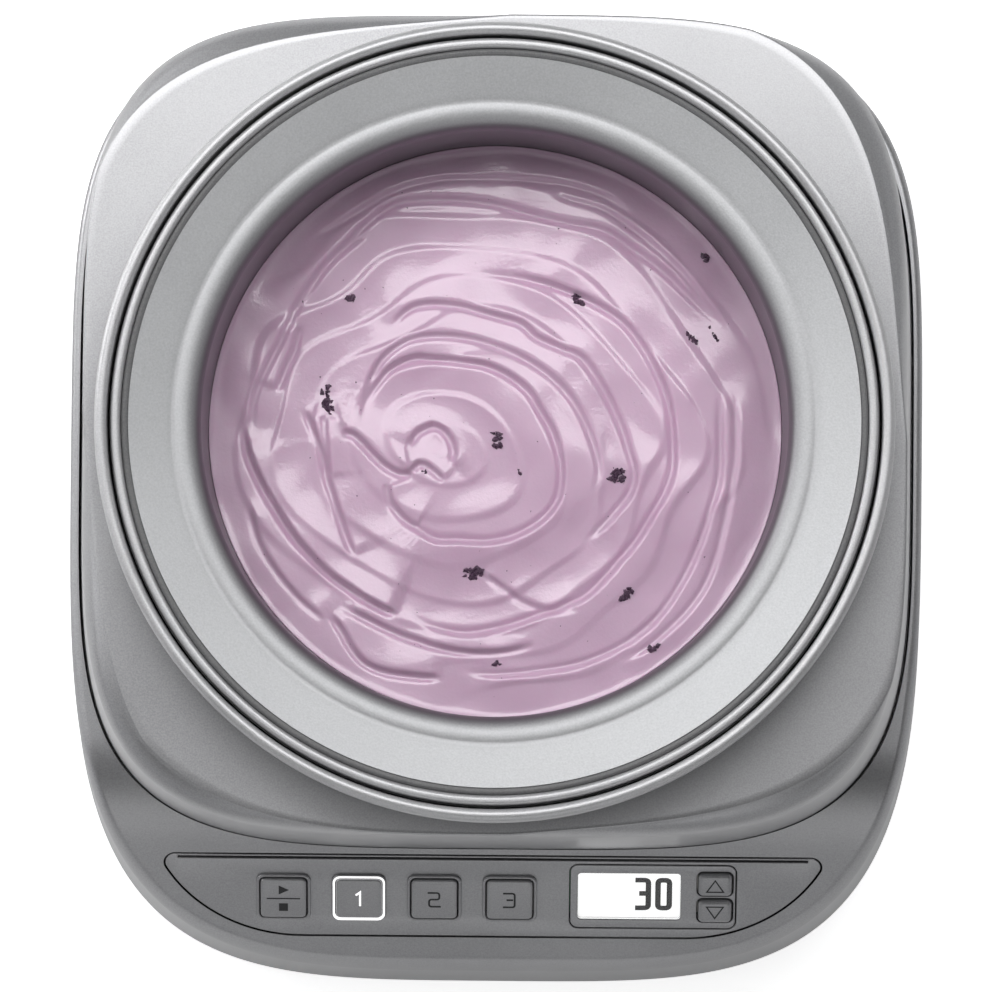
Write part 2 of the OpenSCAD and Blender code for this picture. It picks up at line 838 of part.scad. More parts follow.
module gear_case() {
    color([0.25, 0.26, 0.28])
    on_axis()
    difference() {
        union() {
            translate([0, 0, case_floor_z])
                linear_extrude(height = case_top_z - case_floor_z)
                    low_shape(case_wall);
            translate([0, 0, shelf_z])
                linear_extrude(height = case_top_z - shelf_z)
                    high_shape(case_wall);
            for (p = case_ears)
                translate([p[0], p[1], case_floor_z])
                    cylinder(h = case_ear_h, r = case_ear_r);
        }
        translate([0, 0, case_floor_z + case_floor_t])
            linear_extrude(height = case_top_z)
                low_shape(0);
        translate([0, 0, shelf_z + 2])
            linear_extrude(height = case_top_z)
                high_shape(0);
        translate([0, 0, case_floor_z - 1])
            cylinder(h = 5, r = bush_low_r + push);
        translate([place_b[0], place_b[1], case_floor_z + 0.5])
            cylinder(h = 5, r = axle_r + push);
        translate([place_a[0], place_a[1], case_floor_z + 0.5])
            cylinder(h = 5, r = axle_r + push);
        translate([place_motor[0], place_motor[1], shelf_z - 1])
            cylinder(h = 5, r = 4);
        at_motor_screws()
            translate([0, 0, shelf_z - 1])
                cylinder(h = 5, r = 1.7);
        for (p = case_ears)
            translate([p[0], p[1], case_floor_z - 1])
                cylinder(h = case_ear_h - 0.5, r = screw_r + screw_clear);
    }
}

module gear_case_lid() {
    color([0.25, 0.26, 0.28])
    on_axis()
    difference() {
        translate([0, 0, case_top_z + push])
            linear_extrude(height = lid_t)
                union() {
                    low_shape(case_wall);
                    high_shape(case_wall);
                }
        translate([0, 0, case_top_z - 1])
            cylinder(h = lid_t + 2, r = bush_top_r + push);
        for (p = [place_a, place_b])
            translate([p[0], p[1], case_top_z - 1])
                cylinder(h = 2.5, r = axle_r + push);
    }
}

motor_r = 18.5;
motor_low_z = 11;

module motor() {
    top = shelf_z - 0.02;
    color(steel)
    on_axis()
    translate([place_motor[0], place_motor[1], 0])
    difference() {
        union() {
            rotate_extrude()
                polygon([[0, motor_low_z], [motor_r - 2, motor_low_z], [motor_r, motor_low_z + 2],
                         [motor_r, top - 1], [motor_r - 1, top], [0, top]]);
            cylinder(h = top + 1.6, r = 3.9);
            translate([0, 0, 9.5])
                cylinder(h = 3, r = 6);
        }
        cylinder(h = 9.5, r = 7);
        translate([0, 0, motor_shaft_low - 0.3])
            cylinder(h = 30, r = motor_shaft_r + running);
        rotate([0, 0, dir_motor + 90])
            for (s = [-1, 1])
                translate([s * motor_screw_r, 0, top - 5])
                    cylinder(h = 6, r = 1.5);
    }
}

// A pan-head screw with its head's underside at z = 0, pointing up
module screw(length, head_r, shank_r) {
    translate([0, 0, -1.6])
        cylinder(h = 1.6, r = head_r);
    cylinder(h = length, r = shank_r);
}

module motor_screws() {
    color(steel)
    on_axis()
    at_motor_screws()
        translate([0, 0, shelf_z + 2.03])
            rotate([180, 0, 0])
                screw(5.5, 2.8, 1.45);
}

module gearbox_screws() {
    color(steel)
    on_axis()
    for (p = case_ears)
        translate([p[0], p[1], cover_z + 2.15])
            screw(9.5, 3, screw_r);
}

module column_screws() {
    color(steel)
    on_axis()
    at_column_screws()
        translate([0, 0, column_boss_z - 0.05])
            screw(15, 3, screw_r);
}

module well_screws() {
    color(steel)
    on_axis()
    at_well_screws()
        translate([0, 0, well_boss_z - ear_t - 0.1])
            screw(9, 3, screw_r);
}

module cover_screws() {
    color(steel)
    on_axis()
    at_cover_screws()
        translate([0, 0, cover_z + 1.65])
            screw(13, 3, screw_r);
}

// ---- Control panel: plate, keys, display ----

panel_t = 2;
panel_gap = 0.45;
panel_ledge = 1.2;
panel_h = 23.3;
panel_bow_r = 37.5;
panel_bow_x = 46.8;
panel_corner = 2.5;
panel_shift = -2.4;
key_row_v = -12.1;
first_key_u = -51.2;
frame_rise = 0.7;
key_cap = 11.2;
key_slot = 11.7;
display_mid = [33.4, -11.4];
bezel_mid = [39.2, -11.4];
bezel_size = [40.4, 18.2];
bezel_under = [40.4, 17.2];
bezel_t = 3.4;
bezel_tab = 1.3;
arrow_u = 54.4;
arrow_v = [-7.6, -15.25];
arrow_size = [8.3, 6.5];

// Places its children on the panel: u across, v up the slope from the plate's top edge, w outwards
module on_panel() {
    translate([0, panel_top_y, panel_top_z])
        rotate([panel_slope, 0, 0])
            translate([0, panel_shift, 0])
                children();
}

// The plate's outline: straight on top, large bows below and small round ends, drawn in by d
module panel_shape(d) {
    bow = panel_bow_r - d;
    cr = max(0.3, panel_corner - d);
    cy = panel_bow_r - panel_h;
    reach = bow - cr;
    drop = cy + d + cr;
    run = sqrt(reach * reach - drop * drop);
    tilt = atan2(drop, run);
    right = concat(
        [for (f = [-90:7:-tilt - 0.1]) [panel_bow_x + bow * cos(f), cy + bow * sin(f)]],
        [for (i = [0:6]) let (f = mix(-tilt, 90, i / 6))
            [panel_bow_x + run + cr * cos(f), -d - cr + cr * sin(f)]]);
    polygon(concat(right, reverse([for (p = right) [-p[0], p[1]]])));
}

module rounded(size, r) {
    union() {
        square([size[0] - 2 * r, size[1]], center = true);
        square([size[0], size[1] - 2 * r], center = true);
        for (x = [-1, 1], y = [-1, 1])
            translate([x * (size[0] / 2 - r), y * (size[1] / 2 - r)])
                circle(r = r, $fn = 32);
    }
}

function key_place(i) = [first_key_u + i * key_pitch, key_row_v];

module control_panel() {
    color(silver)
    on_axis()
    on_panel()
        difference() {
            union() {
                translate([0, 0, -panel_t])
                    linear_extrude(height = panel_t)
                        panel_shape(0);
                for (i = [0:3])
                    translate([key_place(i)[0], key_place(i)[1], -panel_t])
                        linear_extrude(height = panel_t + frame_rise)
                            rounded([key_frame, key_frame], 2);
                // posts that carry the control board on melted pins
                for (u = post_u, v = post_v) {
                    translate([u, v, board_top + 0.05])
                        cylinder(h = -panel_t - board_top + 0.5, r = post_r);
                    translate([u, v, -board_depth - 0.8])
                        cylinder(h = 3, r = pin_r);
                }
            }
            for (i = [0:3])
                translate([key_place(i)[0], key_place(i)[1], -panel_t - 1])
                    linear_extrude(height = panel_t + 4)
                        rounded([key_slot, key_slot], 1.4);
            translate([bezel_mid[0], bezel_mid[1], -panel_t - 1])
                linear_extrude(height = panel_t + 2)
                    rounded(bezel_size + [0.5, 0.5], 2.3);
        }
}

module display_bezel() {
    color(silver)
    on_axis()
    on_panel()
        difference() {
            union() {
                translate([bezel_mid[0], bezel_mid[1], -panel_t])
                    linear_extrude(height = panel_t)
                        rounded(bezel_size, 2);
                translate([bezel_mid[0], bezel_mid[1] + 0.3, -bezel_t])
                    linear_extrude(height = bezel_t)
                        rounded(bezel_under, 2);
                // tabs that hold it under the plate
                translate([bezel_mid[0] - bezel_size[0] / 2 - bezel_tab, bezel_mid[1] - 5, -bezel_t])
                    cube([bezel_size[0] + 2 * bezel_tab, 10, bezel_t - panel_t - 0.05]);
            }
            translate([display_mid[0], display_mid[1], -5])
                linear_extrude(height = 8)
                    rounded([display_w, display_h], 1);
            for (v = arrow_v)
                translate([arrow_u, v, -5])
                    linear_extrude(height = 8)
                        rounded(arrow_size + [0.6, 0.6], 1.6);
        }
}

module display_lens() {
    color([0.9, 0.95, 1, 0.3])
    on_axis()
    on_panel()
        translate([display_mid[0], display_mid[1], -1.2])
            linear_extrude(height = 1)
                rounded([display_w - 0.1, display_h - 0.1], 0.95);
}

module lcd_module() {
    color([0.95, 0.96, 0.95])
    on_axis()
    on_panel() {
        translate([display_mid[0], display_mid[1], -3.6])
            linear_extrude(height = 2.3)
                rounded([display_w - 0.2, display_h - 0.2], 0.9);
        translate([display_mid[0], display_mid[1], board_top + 0.05])
            linear_extrude(height = -3.5 - board_top)
                square([display_w - 0.2, display_h - 0.2], center = true);
    }
}

board_depth = 8.5;
board_t = 1.6;
board_top = board_t - board_depth;
post_u = [-62.5, 63.8];
post_v = [-12.5, -6.5];
post_r = 2.2;
pin_r = 1.3;

module control_board() {
    color(board_green)
    on_axis()
    on_panel()
        difference() {
            translate([post_u[0] - 3, -20.5, -board_depth])
                cube([post_u[1] - post_u[0] + 6, 17, board_t]);
            for (u = post_u, v = post_v)
                translate([u, v, -board_depth - 1])
                    cylinder(h = 4, r = pin_r + screw_clear);
        }
}

mat_t = 1;
mat_v = -19.5;
mat_h = 15;
dome_h = 1.2;
dome_top = board_top + mat_t + dome_h;

// A silicone strip on the board with a dome under each key
module mat_strip(u0, u1, domes, dome_r) {
    union() {
        translate([u0, mat_v, board_top + 0.02])
            cube([u1 - u0, mat_h, mat_t]);
        for (p = domes)
            translate([p[0], p[1], board_top + mat_t])
                cylinder(h = dome_h, r1 = dome_r, r2 = dome_r - 1);
    }
}

module key_mat() {
    color([0.75, 0.75, 0.73])
    on_axis()
    on_panel()
        mat_strip(first_key_u - 7, key_place(3)[0] + 7, [for (i = [0:3]) key_place(i)], 4);
}

module arrow_mat() {
    color([0.75, 0.75, 0.73])
    on_axis()
    on_panel()
        mat_strip(arrow_u - 4.5, arrow_u + 4.5, [for (v = arrow_v) [arrow_u, v]], 2.8);
}

key_foot = dome_top + key_travel + 0.3;
key_top_step = 0.4;
key_top_in = 0.35;

// A key's cap stands a little proud of its frame and reaches down to its dome on the mat
module key(place, size, round, proud, foot_size) {
    color(silver)
    on_axis()
    on_panel()
        translate([place[0], place[1], 0]) {
            translate([0, 0, key_foot])
                linear_extrude(height = proud - key_top_step - key_foot)
                    rounded(size, round);
            translate([0, 0, proud - 2 * key_top_step])
                linear_extrude(height = 2 * key_top_step)
                    rounded(size - 2 * [key_top_in, key_top_in], round - key_top_in);
            translate([0, 0, key_foot])
                linear_extrude(height = -panel_t - 0.1 - key_foot)
                    rounded(foot_size, round);
        }
}

module square_key(i) {
    key(key_place(i), [key_cap, key_cap], 1.2, 1.1, [key_cap + 1.8, key_cap + 1.8]);
}

module arrow_key(i) {
    key([arrow_u, arrow_v[i]], arrow_size, 1.4, 1, arrow_size);
}

// ---- Mains side ----

board_z = 12;
board_corner = [41, -42];
board_size = [51, 86];
board_posts = [[45, -38], [88, -38], [45, 40], [88, 40]];
parts_z = board_z + board_t - 0.1;
capacitor_places = [[52, 28], [64, 28]];
core_corner = [52, -22];
core_size = [30, 26, 22];
coil_size = [22, 34, 16];

module power_board() {
    color(board_green)
    on_axis()
    difference() {
        union() {
            translate([board_corner[0], board_corner[1], board_z])
                cube([board_size[0], board_size[1], board_t]);
            // two capacitors, a relay and the cord's terminals
            for (p = capacitor_places)
                translate([p[0], p[1], parts_z])
                    cylinder(h = 14, r = 5);
            translate([72, 22, parts_z])
                cube([14, 11, 12]);
            translate([50, -36, parts_z])
                cube([24, 6, 7]);
        }
        for (p = board_posts)
            translate([p[0], p[1], board_z - 1])
                cylinder(h = 4, r = screw_r + 0.1);
    }
}

module transformer() {
    color([0.35, 0.30, 0.20])
    on_axis()
    translate([core_corner[0], core_corner[1], board_z + board_t + 0.05]) {
        cube(core_size);
        translate((core_size - coil_size) / 2)
            cube(coil_size);
    }
}

module cord_gland() {
    color(dark_plastic)
    on_axis()
    translate([gland_x, back_y, gland_z])
        rotate([-90, 0, 0])
            difference() {
                union() {
                    translate([0, 0, -8])
                        cylinder(h = 8, r = gland_barrel_r);
                    translate([0, 0, -gland_recess + 0.05])
                        cylinder(h = 2, r = gland_r);
                    translate([0, 0, -8])
                        cylinder(h = 4, r = gland_r - 0.4);
                }
                translate([0, 0, -10])
                    cylinder(h = 16, r = cord_hole_r);
            }
}

upper_housing();
lower_housing();
bottom_cover();
deck_collar();
bowl_well();
bowl_shell();
bowl_liner();
bowl_rim_ring();
bowl_seal();
bowl_coolant();
bowl_socket();
ice_cream();
drive_hub();
drive_spindle();
spindle_gear();
gear_b();
gear_a();
motor_pinion();
motor_shaft();
axle(place_b, case_floor_z + 0.6, case_top_z + 1.4);  // axle_b
axle(place_a, case_floor_z + 0.6, case_top_z + 1.4);  // axle_a
bush(case_floor_z, 13.2, bush_low_r, 12.05);  // lower_bush
bush(case_top_z + 0.1, 46.8, bush_top_r, lid_top_z);  // upper_bush
shaft_seal();
gear_case();
gear_case_lid();
motor();
motor_screws();
gearbox_screws();
control_panel();
display_bezel();
display_lens();
lcd_module();
control_board();
key_mat();
arrow_mat();
square_key(0);  // start_key
square_key(1);  // mode_key_1
square_key(2);  // mode_key_2
square_key(3);  // mode_key_3
arrow_key(0);  // up_key
arrow_key(1);  // down_key
power_board();
transformer();
cord_gland();
column_screws();
well_screws();
cover_screws();
foot_pad(foot_pad_places[0]);  // foot_front_left
foot_pad(foot_pad_places[1]);  // foot_front_right
foot_pad(foot_pad_places[2]);  // foot_back_left
foot_pad(foot_pad_places[3]);  // foot_back_right
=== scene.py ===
import math

import bmesh
import bpy
import numpy as np
from mathutils import Matrix, Quaternion, Vector
from mathutils.geometry import delaunay_2d_cdt


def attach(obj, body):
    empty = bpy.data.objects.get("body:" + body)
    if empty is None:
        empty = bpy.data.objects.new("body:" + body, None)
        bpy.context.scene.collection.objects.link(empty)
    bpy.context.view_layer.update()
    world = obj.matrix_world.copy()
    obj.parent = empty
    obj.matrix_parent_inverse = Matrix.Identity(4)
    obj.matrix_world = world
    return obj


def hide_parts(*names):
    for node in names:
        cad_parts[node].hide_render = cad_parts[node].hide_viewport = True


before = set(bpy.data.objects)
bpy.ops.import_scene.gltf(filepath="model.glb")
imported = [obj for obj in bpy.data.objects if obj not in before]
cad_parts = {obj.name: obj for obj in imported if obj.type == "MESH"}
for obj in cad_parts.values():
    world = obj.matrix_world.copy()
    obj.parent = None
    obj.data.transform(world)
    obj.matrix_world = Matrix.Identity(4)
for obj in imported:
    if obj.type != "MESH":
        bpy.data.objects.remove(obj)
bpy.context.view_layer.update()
MM = 0.001

# ---- camera ----

CAMERA_PLACE = Vector((8.8, -138.25, 2705.0)) * MM
CAMERA_AIM = Vector((0.46, -6.7, 205.0)) * MM
CAMERA_ROLL = math.radians(0.5)


def make_camera():
    """A long lens high above the machine, a little in front of it and to the right."""
    data = bpy.data.cameras.new("top_camera")
    data.sensor_width = 36
    data.lens = 392.8
    data.clip_start = 0.1
    data.clip_end = 30
    camera = bpy.data.objects.new("top_camera", data)
    bpy.context.scene.collection.objects.link(camera)
    camera.rotation_mode = "QUATERNION"
    camera.location = CAMERA_PLACE
    forward = (CAMERA_AIM - CAMERA_PLACE).normalized()
    right = forward.cross(Vector((0, 1, 0))).normalized()
    level = Matrix((right, right.cross(forward), -forward)).transposed()
    camera.rotation_quaternion = level.to_quaternion() @ Quaternion((0, 0, 1), CAMERA_ROLL)
    bpy.context.scene.camera = camera


make_camera()

# ---- sizes of the machine, in millimetres, round the bowl's axis ----

BOWL_Y = 10.75
DECK_Z, SHOULDER_Z, SEAT_Z, SKIRT_Z = 187.0, 180.5, 57.0, 4.0
SHOULDER_HALF, COLUMN_FRONT, COLUMN_FLARE, COLUMN_POWER = 96.3, 95.8, 5.2, 4.2
FOOT_HALF, FOOT_FRONT = 106.0, 128.0
PANEL_TOP_Y, PANEL_TOP_Z, PANEL_SLOPE, PANEL_SHIFT = -96.0, 62.0, math.radians(34), -2.4
RIM_Z, FILL_Z, LINER_THICK = 205.0, 162.0, 1.6

# ---- shared mesh helpers ----


def piece(name, points, faces, finish, body, replaced=(), sharp=50, which=None):
    """One smooth-shaded mesh from points in millimetres round the bowl's axis and an array of faces. Where
    there is more than one finish, which gives each face's own."""
    placed = (np.asarray(points, float) + (0, BOWL_Y, 0)) * MM
    mesh = bpy.data.meshes.new(name)
    mesh.from_pydata(placed.tolist(), [], faces.tolist() if hasattr(faces, "tolist") else faces)
    if which is not None:
        mesh.polygons.foreach_set("material_index", which)
    work = bmesh.new()
    work.from_mesh(mesh)
    bmesh.ops.remove_doubles(work, verts=work.verts, dist=1e-6)
    bmesh.ops.recalc_face_normals(work, faces=work.faces)
    work.to_mesh(mesh)
    work.free()
    mesh.shade_smooth()
    mesh.set_sharp_from_angle(angle=math.radians(sharp))
    thing = bpy.data.objects.new(name, mesh)
    bpy.context.scene.collection.objects.link(thing)
    for f in finish if isinstance(finish, (list, tuple)) else [finish]:
        mesh.materials.append(f)
    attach(thing, body)
    if replaced:
        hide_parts(*replaced)
    return thing


def grid_faces(rows, columns, wrap_rows=True, wrap_columns=True):
    """Four-cornered faces of a grid of points kept row by row, joined round on either side if asked."""
    i = np.arange(rows if wrap_rows else rows - 1)
    k = np.arange(columns if wrap_columns else columns - 1)
    i, k = [x.ravel() for x in np.meshgrid(i, k, indexing="ij")]
    j, m = (i + 1) % rows, (k + 1) % columns
    return np.stack([i * columns + k, i * columns + m, j * columns + m, j * columns + k], 1)


def loft_points(angles, radii, heights):
    """Points at (r cos a, r sin a, z) for arrays of one row for each direction a and one column along the
    profile."""
    a = angles[:, None]
    return np.stack([radii * np.cos(a), radii * np.sin(a), heights + 0 * radii], 2).reshape(-1, 3)


def lofted(angles, columns):
    """Points of a loft whose columns are pairs (radius, height), each a number or an array over the angles."""
    return loft_points(angles, *[np.stack([c[k] + 0 * angles for c in columns], 1) for k in (0, 1)])


def turned(profile, turns):
    """Points of a (r, z) profile turned once round the bowl's axis."""
    angles = np.linspace(0, 2 * np.pi, turns, endpoint=False)
    return loft_points(angles, *[np.repeat(profile[None, :, k], turns, 0) for k in (0, 1)])


def ring(name, profile, finish, body, replaced, turns=480):
    """A closed (r, z) profile turned once round the bowl's axis."""
    profile = np.asarray(profile, float)
    faces = grid_faces(turns, len(profile))
    return piece(name, turned(profile, turns), faces, finish, body, replaced)


def arc(cx, cz, radius, start, end, steps):
    """Points (cx + radius cos f, cz + radius sin f) for f from start to end degrees."""
    f = np.radians(np.linspace(start, end, steps + 1))
    return np.stack([cx + radius * np.cos(f), cz + radius * np.sin(f)], 1)


def mix(p, q, t):
    return p + (q - p) * t


# ---- outlines of the housing ----


def super_r(a, half_x, half_y, power):
    """Radius in direction a of the superellipse |x / half_x|^power + |y / half_y|^power = 1."""
    return (np.abs(np.cos(a) / half_x) ** power + np.abs(np.sin(a) / half_y) ** power) ** (-1 / power)


def column_r(a, z):
    """Column outline: its half width grows from the shoulder to the seat on three sides and stays upright in
    front."""
    t = (SHOULDER_Z - z) / (SHOULDER_Z - SEAT_Z)
    side = SHOULDER_HALF + t * COLUMN_FLARE
    front = COLUMN_FRONT + 0.3 * t
    return np.where(np.sin(a) >= 0, super_r(a, side, side, COLUMN_POWER),
                    super_r(a, side, front, COLUMN_POWER))


def deck_r(a):
    """Deck edge: a rounder superellipse turned 5 degrees, cut back at the front left, kept inside the
    column."""
    edge = np.minimum(super_r(a - math.radians(5), 95.6, 95.6, 3.65), column_r(a, SHOULDER_Z) - 0.1)
    degrees = np.degrees(a) % 360
    corner = super_r(a, 98.0, 95.6, 3.2)
    return np.where((degrees > 180) & (degrees < 275), np.minimum(edge, corner), edge)


def foot_r(a, z):
    """Foot outline, drawn in by the mould's draft as z rises."""
    drawn = 2.4 * (z - SKIRT_Z) / 55
    back = super_r(a, FOOT_HALF - drawn, FOOT_HALF + 0.5 - drawn, 4.2)
    front = super_r(a, FOOT_HALF - drawn, FOOT_FRONT - drawn, 3.8)
    return np.where(np.sin(a) >= 0, back, front)


def foot_top(y):
    """Height of the foot's top: the panel's slope in front, eased to level along the sides by u - u^2 / 2."""
    u = np.minimum(1, (y - PANEL_TOP_Y) / 26)
    rise = np.where(u <= 0, y - PANEL_TOP_Y, 26 * (u - u * u / 2))
    return PANEL_TOP_Z + math.tan(PANEL_SLOPE) * rise


# ---- finishes ----


def material(name):
    made = bpy.data.materials.new(name)
    made.use_nodes = True
    return made, made.node_tree.nodes, made.node_tree.links, made.node_tree.nodes["Principled BSDF"]


FINE_SHARE, MOTTLE_SCALE, ROUGH_SPREAD = 0.65, 25, 0.06


def grained(name, dark, light, rough, metallic=0.0, grain=3000, bump=0.1, depth=0.00005, stretch=(1, 1, 1)):
    """A finish with a fine grain and a slow mottle: both move the colour between dark and light and the
    roughness about rough, and the grain lifts the surface."""
    made, nodes, links, shader = material(name)
    place = nodes.new("ShaderNodeTexCoord")
    mapping = nodes.new("ShaderNodeMapping")
    mapping.inputs["Scale"].default_value = stretch
    links.new(place.outputs["Object"], mapping.inputs["Vector"])
    fine = nodes.new("ShaderNodeTexNoise")
    fine.inputs["Scale"].default_value = grain
    fine.inputs["Detail"].default_value = 2
    slow = nodes.new("ShaderNodeTexNoise")
    slow.inputs["Scale"].default_value = MOTTLE_SCALE
    slow.inputs["Detail"].default_value = 3
    for n in (fine, slow):
        links.new(mapping.outputs["Vector"], n.inputs["Vector"])
    both = nodes.new("ShaderNodeMath")
    both.operation = "MULTIPLY_ADD"
    both.inputs[1].default_value = FINE_SHARE
    links.new(fine.outputs["Fac"], both.inputs[0])
    share = nodes.new("ShaderNodeMath")
    share.operation = "MULTIPLY"
    share.inputs[1].default_value = 1 - FINE_SHARE
    links.new(slow.outputs["Fac"], share.inputs[0])
    links.new(share.outputs[0], both.inputs[2])
    ramp, rougher = nodes.new("ShaderNodeMapRange"), nodes.new("ShaderNodeMapRange")
    for n in (ramp, rougher):
        n.inputs["From Min"].default_value = 0.3
        n.inputs["From Max"].default_value = 0.7
        links.new(both.outputs[0], n.inputs["Value"])
    tone = nodes.new("ShaderNodeMix")
    tone.data_type = "RGBA"
    tone.inputs[6].default_value = (*dark, 1)
    tone.inputs[7].default_value = (*light, 1)
    links.new(ramp.outputs["Result"], tone.inputs[0])
    links.new(tone.outputs[2], shader.inputs["Base Color"])
    rougher.inputs["To Min"].default_value = rough - ROUGH_SPREAD
    rougher.inputs["To Max"].default_value = rough + ROUGH_SPREAD
    links.new(rougher.outputs["Result"], shader.inputs["Roughness"])
    lift = nodes.new("ShaderNodeBump")
    lift.inputs["Strength"].default_value = bump
    lift.inputs["Distance"].default_value = depth
    links.new(fine.outputs["Fac"], lift.inputs["Height"])
    links.new(lift.outputs["Normal"], shader.inputs["Normal"])
    shader.inputs["Metallic"].default_value = metallic
    return made


def cream_finish():
    """Soft berry cream: two pinks in a slow mottle, light scattered under the skin, and a wet coat whose fine
    pits break up the edges of its highlights."""
    made, nodes, links, shader = material("berry_cream")
    place = nodes.new("ShaderNodeTexCoord")
    slow = nodes.new("ShaderNodeTexNoise")
    slow.inputs["Scale"].default_value = 45
    slow.inputs["Detail"].default_value = 5
    fine = nodes.new("ShaderNodeTexNoise")
    fine.inputs["Scale"].default_value = 1300
    fine.inputs["Detail"].default_value = 4
    for n in (slow, fine):
        links.new(place.outputs["Object"], n.inputs["Vector"])
    tone = nodes.new("ShaderNodeMix")
    tone.data_type = "RGBA"
    tone.inputs[6].default_value = (0.58, 0.385, 0.53, 1)
    tone.inputs[7].default_value = (0.69, 0.48, 0.635, 1)
    links.new(slow.outputs["Fac"], tone.inputs[0])
    links.new(tone.outputs[2], shader.inputs["Base Color"])
    lift = nodes.new("ShaderNodeBump")
    lift.inputs["Strength"].default_value = 0.5
    lift.inputs["Distance"].default_value = 0.00008
    links.new(fine.outputs["Fac"], lift.inputs["Height"])
    links.new(lift.outputs["Normal"], shader.inputs["Normal"])
    links.new(lift.outputs["Normal"], shader.inputs["Coat Normal"])
    shader.inputs["Roughness"].default_value = 0.35
    shader.inputs["Coat Weight"].default_value = 1.0
    shader.inputs["Coat Roughness"].default_value = 0.09
    shader.inputs["Coat IOR"].default_value = 1.5
    shader.inputs["Subsurface Weight"].default_value = 0.35
    shader.inputs["Subsurface Radius"].default_value = (1.0, 0.6, 0.8)
    shader.inputs["Subsurface Scale"].default_value = 0.0015
    return made


def painted_shade_and_polish_below(made, low, high, dark, rough):
    """Paints shade into a finish below a height in metres: a darker colour, a painted stand-in for the shade
    and dark reflections at the cup's lip, and a smoother roughness, both blended between low and high.
    """
    nodes, links = made.node_tree.nodes, made.node_tree.links
    shader = nodes["Principled BSDF"]
    place = nodes.new("ShaderNodeTexCoord")
    split = nodes.new("ShaderNodeSeparateXYZ")
    links.new(place.outputs["Object"], split.inputs[0])
    blend = nodes.new("ShaderNodeMapRange")
    blend.interpolation_type = "SMOOTHSTEP"
    blend.inputs["From Min"].default_value = low
    blend.inputs["From Max"].default_value = high
    links.new(split.outputs["Z"], blend.inputs["Value"])
    tone = nodes.new("ShaderNodeMix")
    tone.data_type = "RGBA"
    tone.inputs[6].default_value = (*dark, 1)
    links.new(blend.outputs["Result"], tone.inputs[0])
    links.new(shader.inputs["Base Color"].links[0].from_socket, tone.inputs[7])
    links.new(tone.outputs[2], shader.inputs["Base Color"])
    rougher = nodes.new("ShaderNodeMix")
    rougher.inputs[2].default_value = rough
    links.new(blend.outputs["Result"], rougher.inputs[0])
    links.new(shader.inputs["Roughness"].links[0].from_socket, rougher.inputs[3])
    links.new(rougher.outputs[0], shader.inputs["Roughness"])


silver_paint = grained("silver_paint", (0.30, 0.30, 0.31), (0.42, 0.42, 0.43), 0.36, 0.75, 2600, 0.25,
                       0.00006)
key_paint = grained("key_paint", (0.29, 0.29, 0.30), (0.40, 0.40, 0.41), 0.40, 0.7, 3200, 0.2, 0.00005)
rim_paint = grained("rim_paint", (0.40, 0.40, 0.41), (0.53, 0.53, 0.54), 0.44, 0.65, 2600, 0.15, 0.00004)
liner_metal = grained("liner_metal", (0.455, 0.46, 0.47), (0.595, 0.60, 0.61), 0.62, 0.8, 2100, 0.4, 0.0001)
# Painted shade: the liner's colour is darkened at the lip and down the cup wall, standing in for the shade and
# dark reflections there; the roughness there is lowered as well.
painted_shade_and_polish_below(liner_metal, 0.1965, 0.2004, (0.17, 0.162, 0.175), 0.4)
seal_rubber = grained("seal_rubber", (0.09, 0.09, 0.093), (0.15, 0.15, 0.153), 0.5, 0, 2500, 0.2)
# Painted shade: a near-black finish for the recess walls round the panel plate, standing in for the shadow in
# the narrow gap.
painted_gap_shade = grained("painted_gap_shade", (0.008, 0.008, 0.008), (0.02, 0.02, 0.02), 0.7, 0, 2500, 0.1)
well_moulding = grained("well_moulding", (0.20, 0.20, 0.21), (0.28, 0.28, 0.29), 0.5, 0, 1800, 0.2)
bowl_moulding = grained("bowl_moulding", (0.17, 0.17, 0.18), (0.24, 0.24, 0.25), 0.32, 0, 900, 0.05)
dark_moulding = grained("dark_moulding", (0.018, 0.018, 0.02), (0.04, 0.04, 0.042), 0.55, 0, 1500, 0.5,
                        0.0001)
foot_rubber = grained("foot_rubber", (0.012, 0.012, 0.012), (0.03, 0.03, 0.03), 0.75, 0, 1200, 0.5, 0.0001)
nylon = grained("nylon", (0.72, 0.70, 0.64), (0.82, 0.80, 0.75), 0.42, 0, 1500, 0.1)
ground_steel = grained("ground_steel", (0.42, 0.42, 0.43), (0.60, 0.60, 0.61), 0.28, 1, 900, 0.1, 0.00004,
                       stretch=(1, 1, 12))
bearing_metal = grained("bearing_metal", (0.50, 0.36, 0.14), (0.68, 0.50, 0.22), 0.35, 1, 1500, 0.15)
gearbox_moulding = grained("gearbox_moulding", (0.04, 0.042, 0.046), (0.07, 0.073, 0.08), 0.5, 0, 1200, 0.4)
circuit_green = grained("circuit_green", (0.01, 0.06, 0.025), (0.02, 0.10, 0.04), 0.35, 0, 600, 0.05)
mat_silicone = grained("mat_silicone", (0.45, 0.45, 0.42), (0.58, 0.58, 0.55), 0.6, 0, 900, 0.1)
core_iron = grained("core_iron", (0.05, 0.045, 0.04), (0.12, 0.11, 0.09), 0.5, 0.6, 700, 0.3,
                    stretch=(1, 8, 1))
coolant_gel = grained("coolant_gel", (0.20, 0.42, 0.62), (0.30, 0.55, 0.75), 0.2, 0, 300, 0.05)
ink_black = grained("ink_black", (0.012, 0.012, 0.014), (0.022, 0.022, 0.024), 0.5, 0, 2500, 0.05)

# ---- housings ----


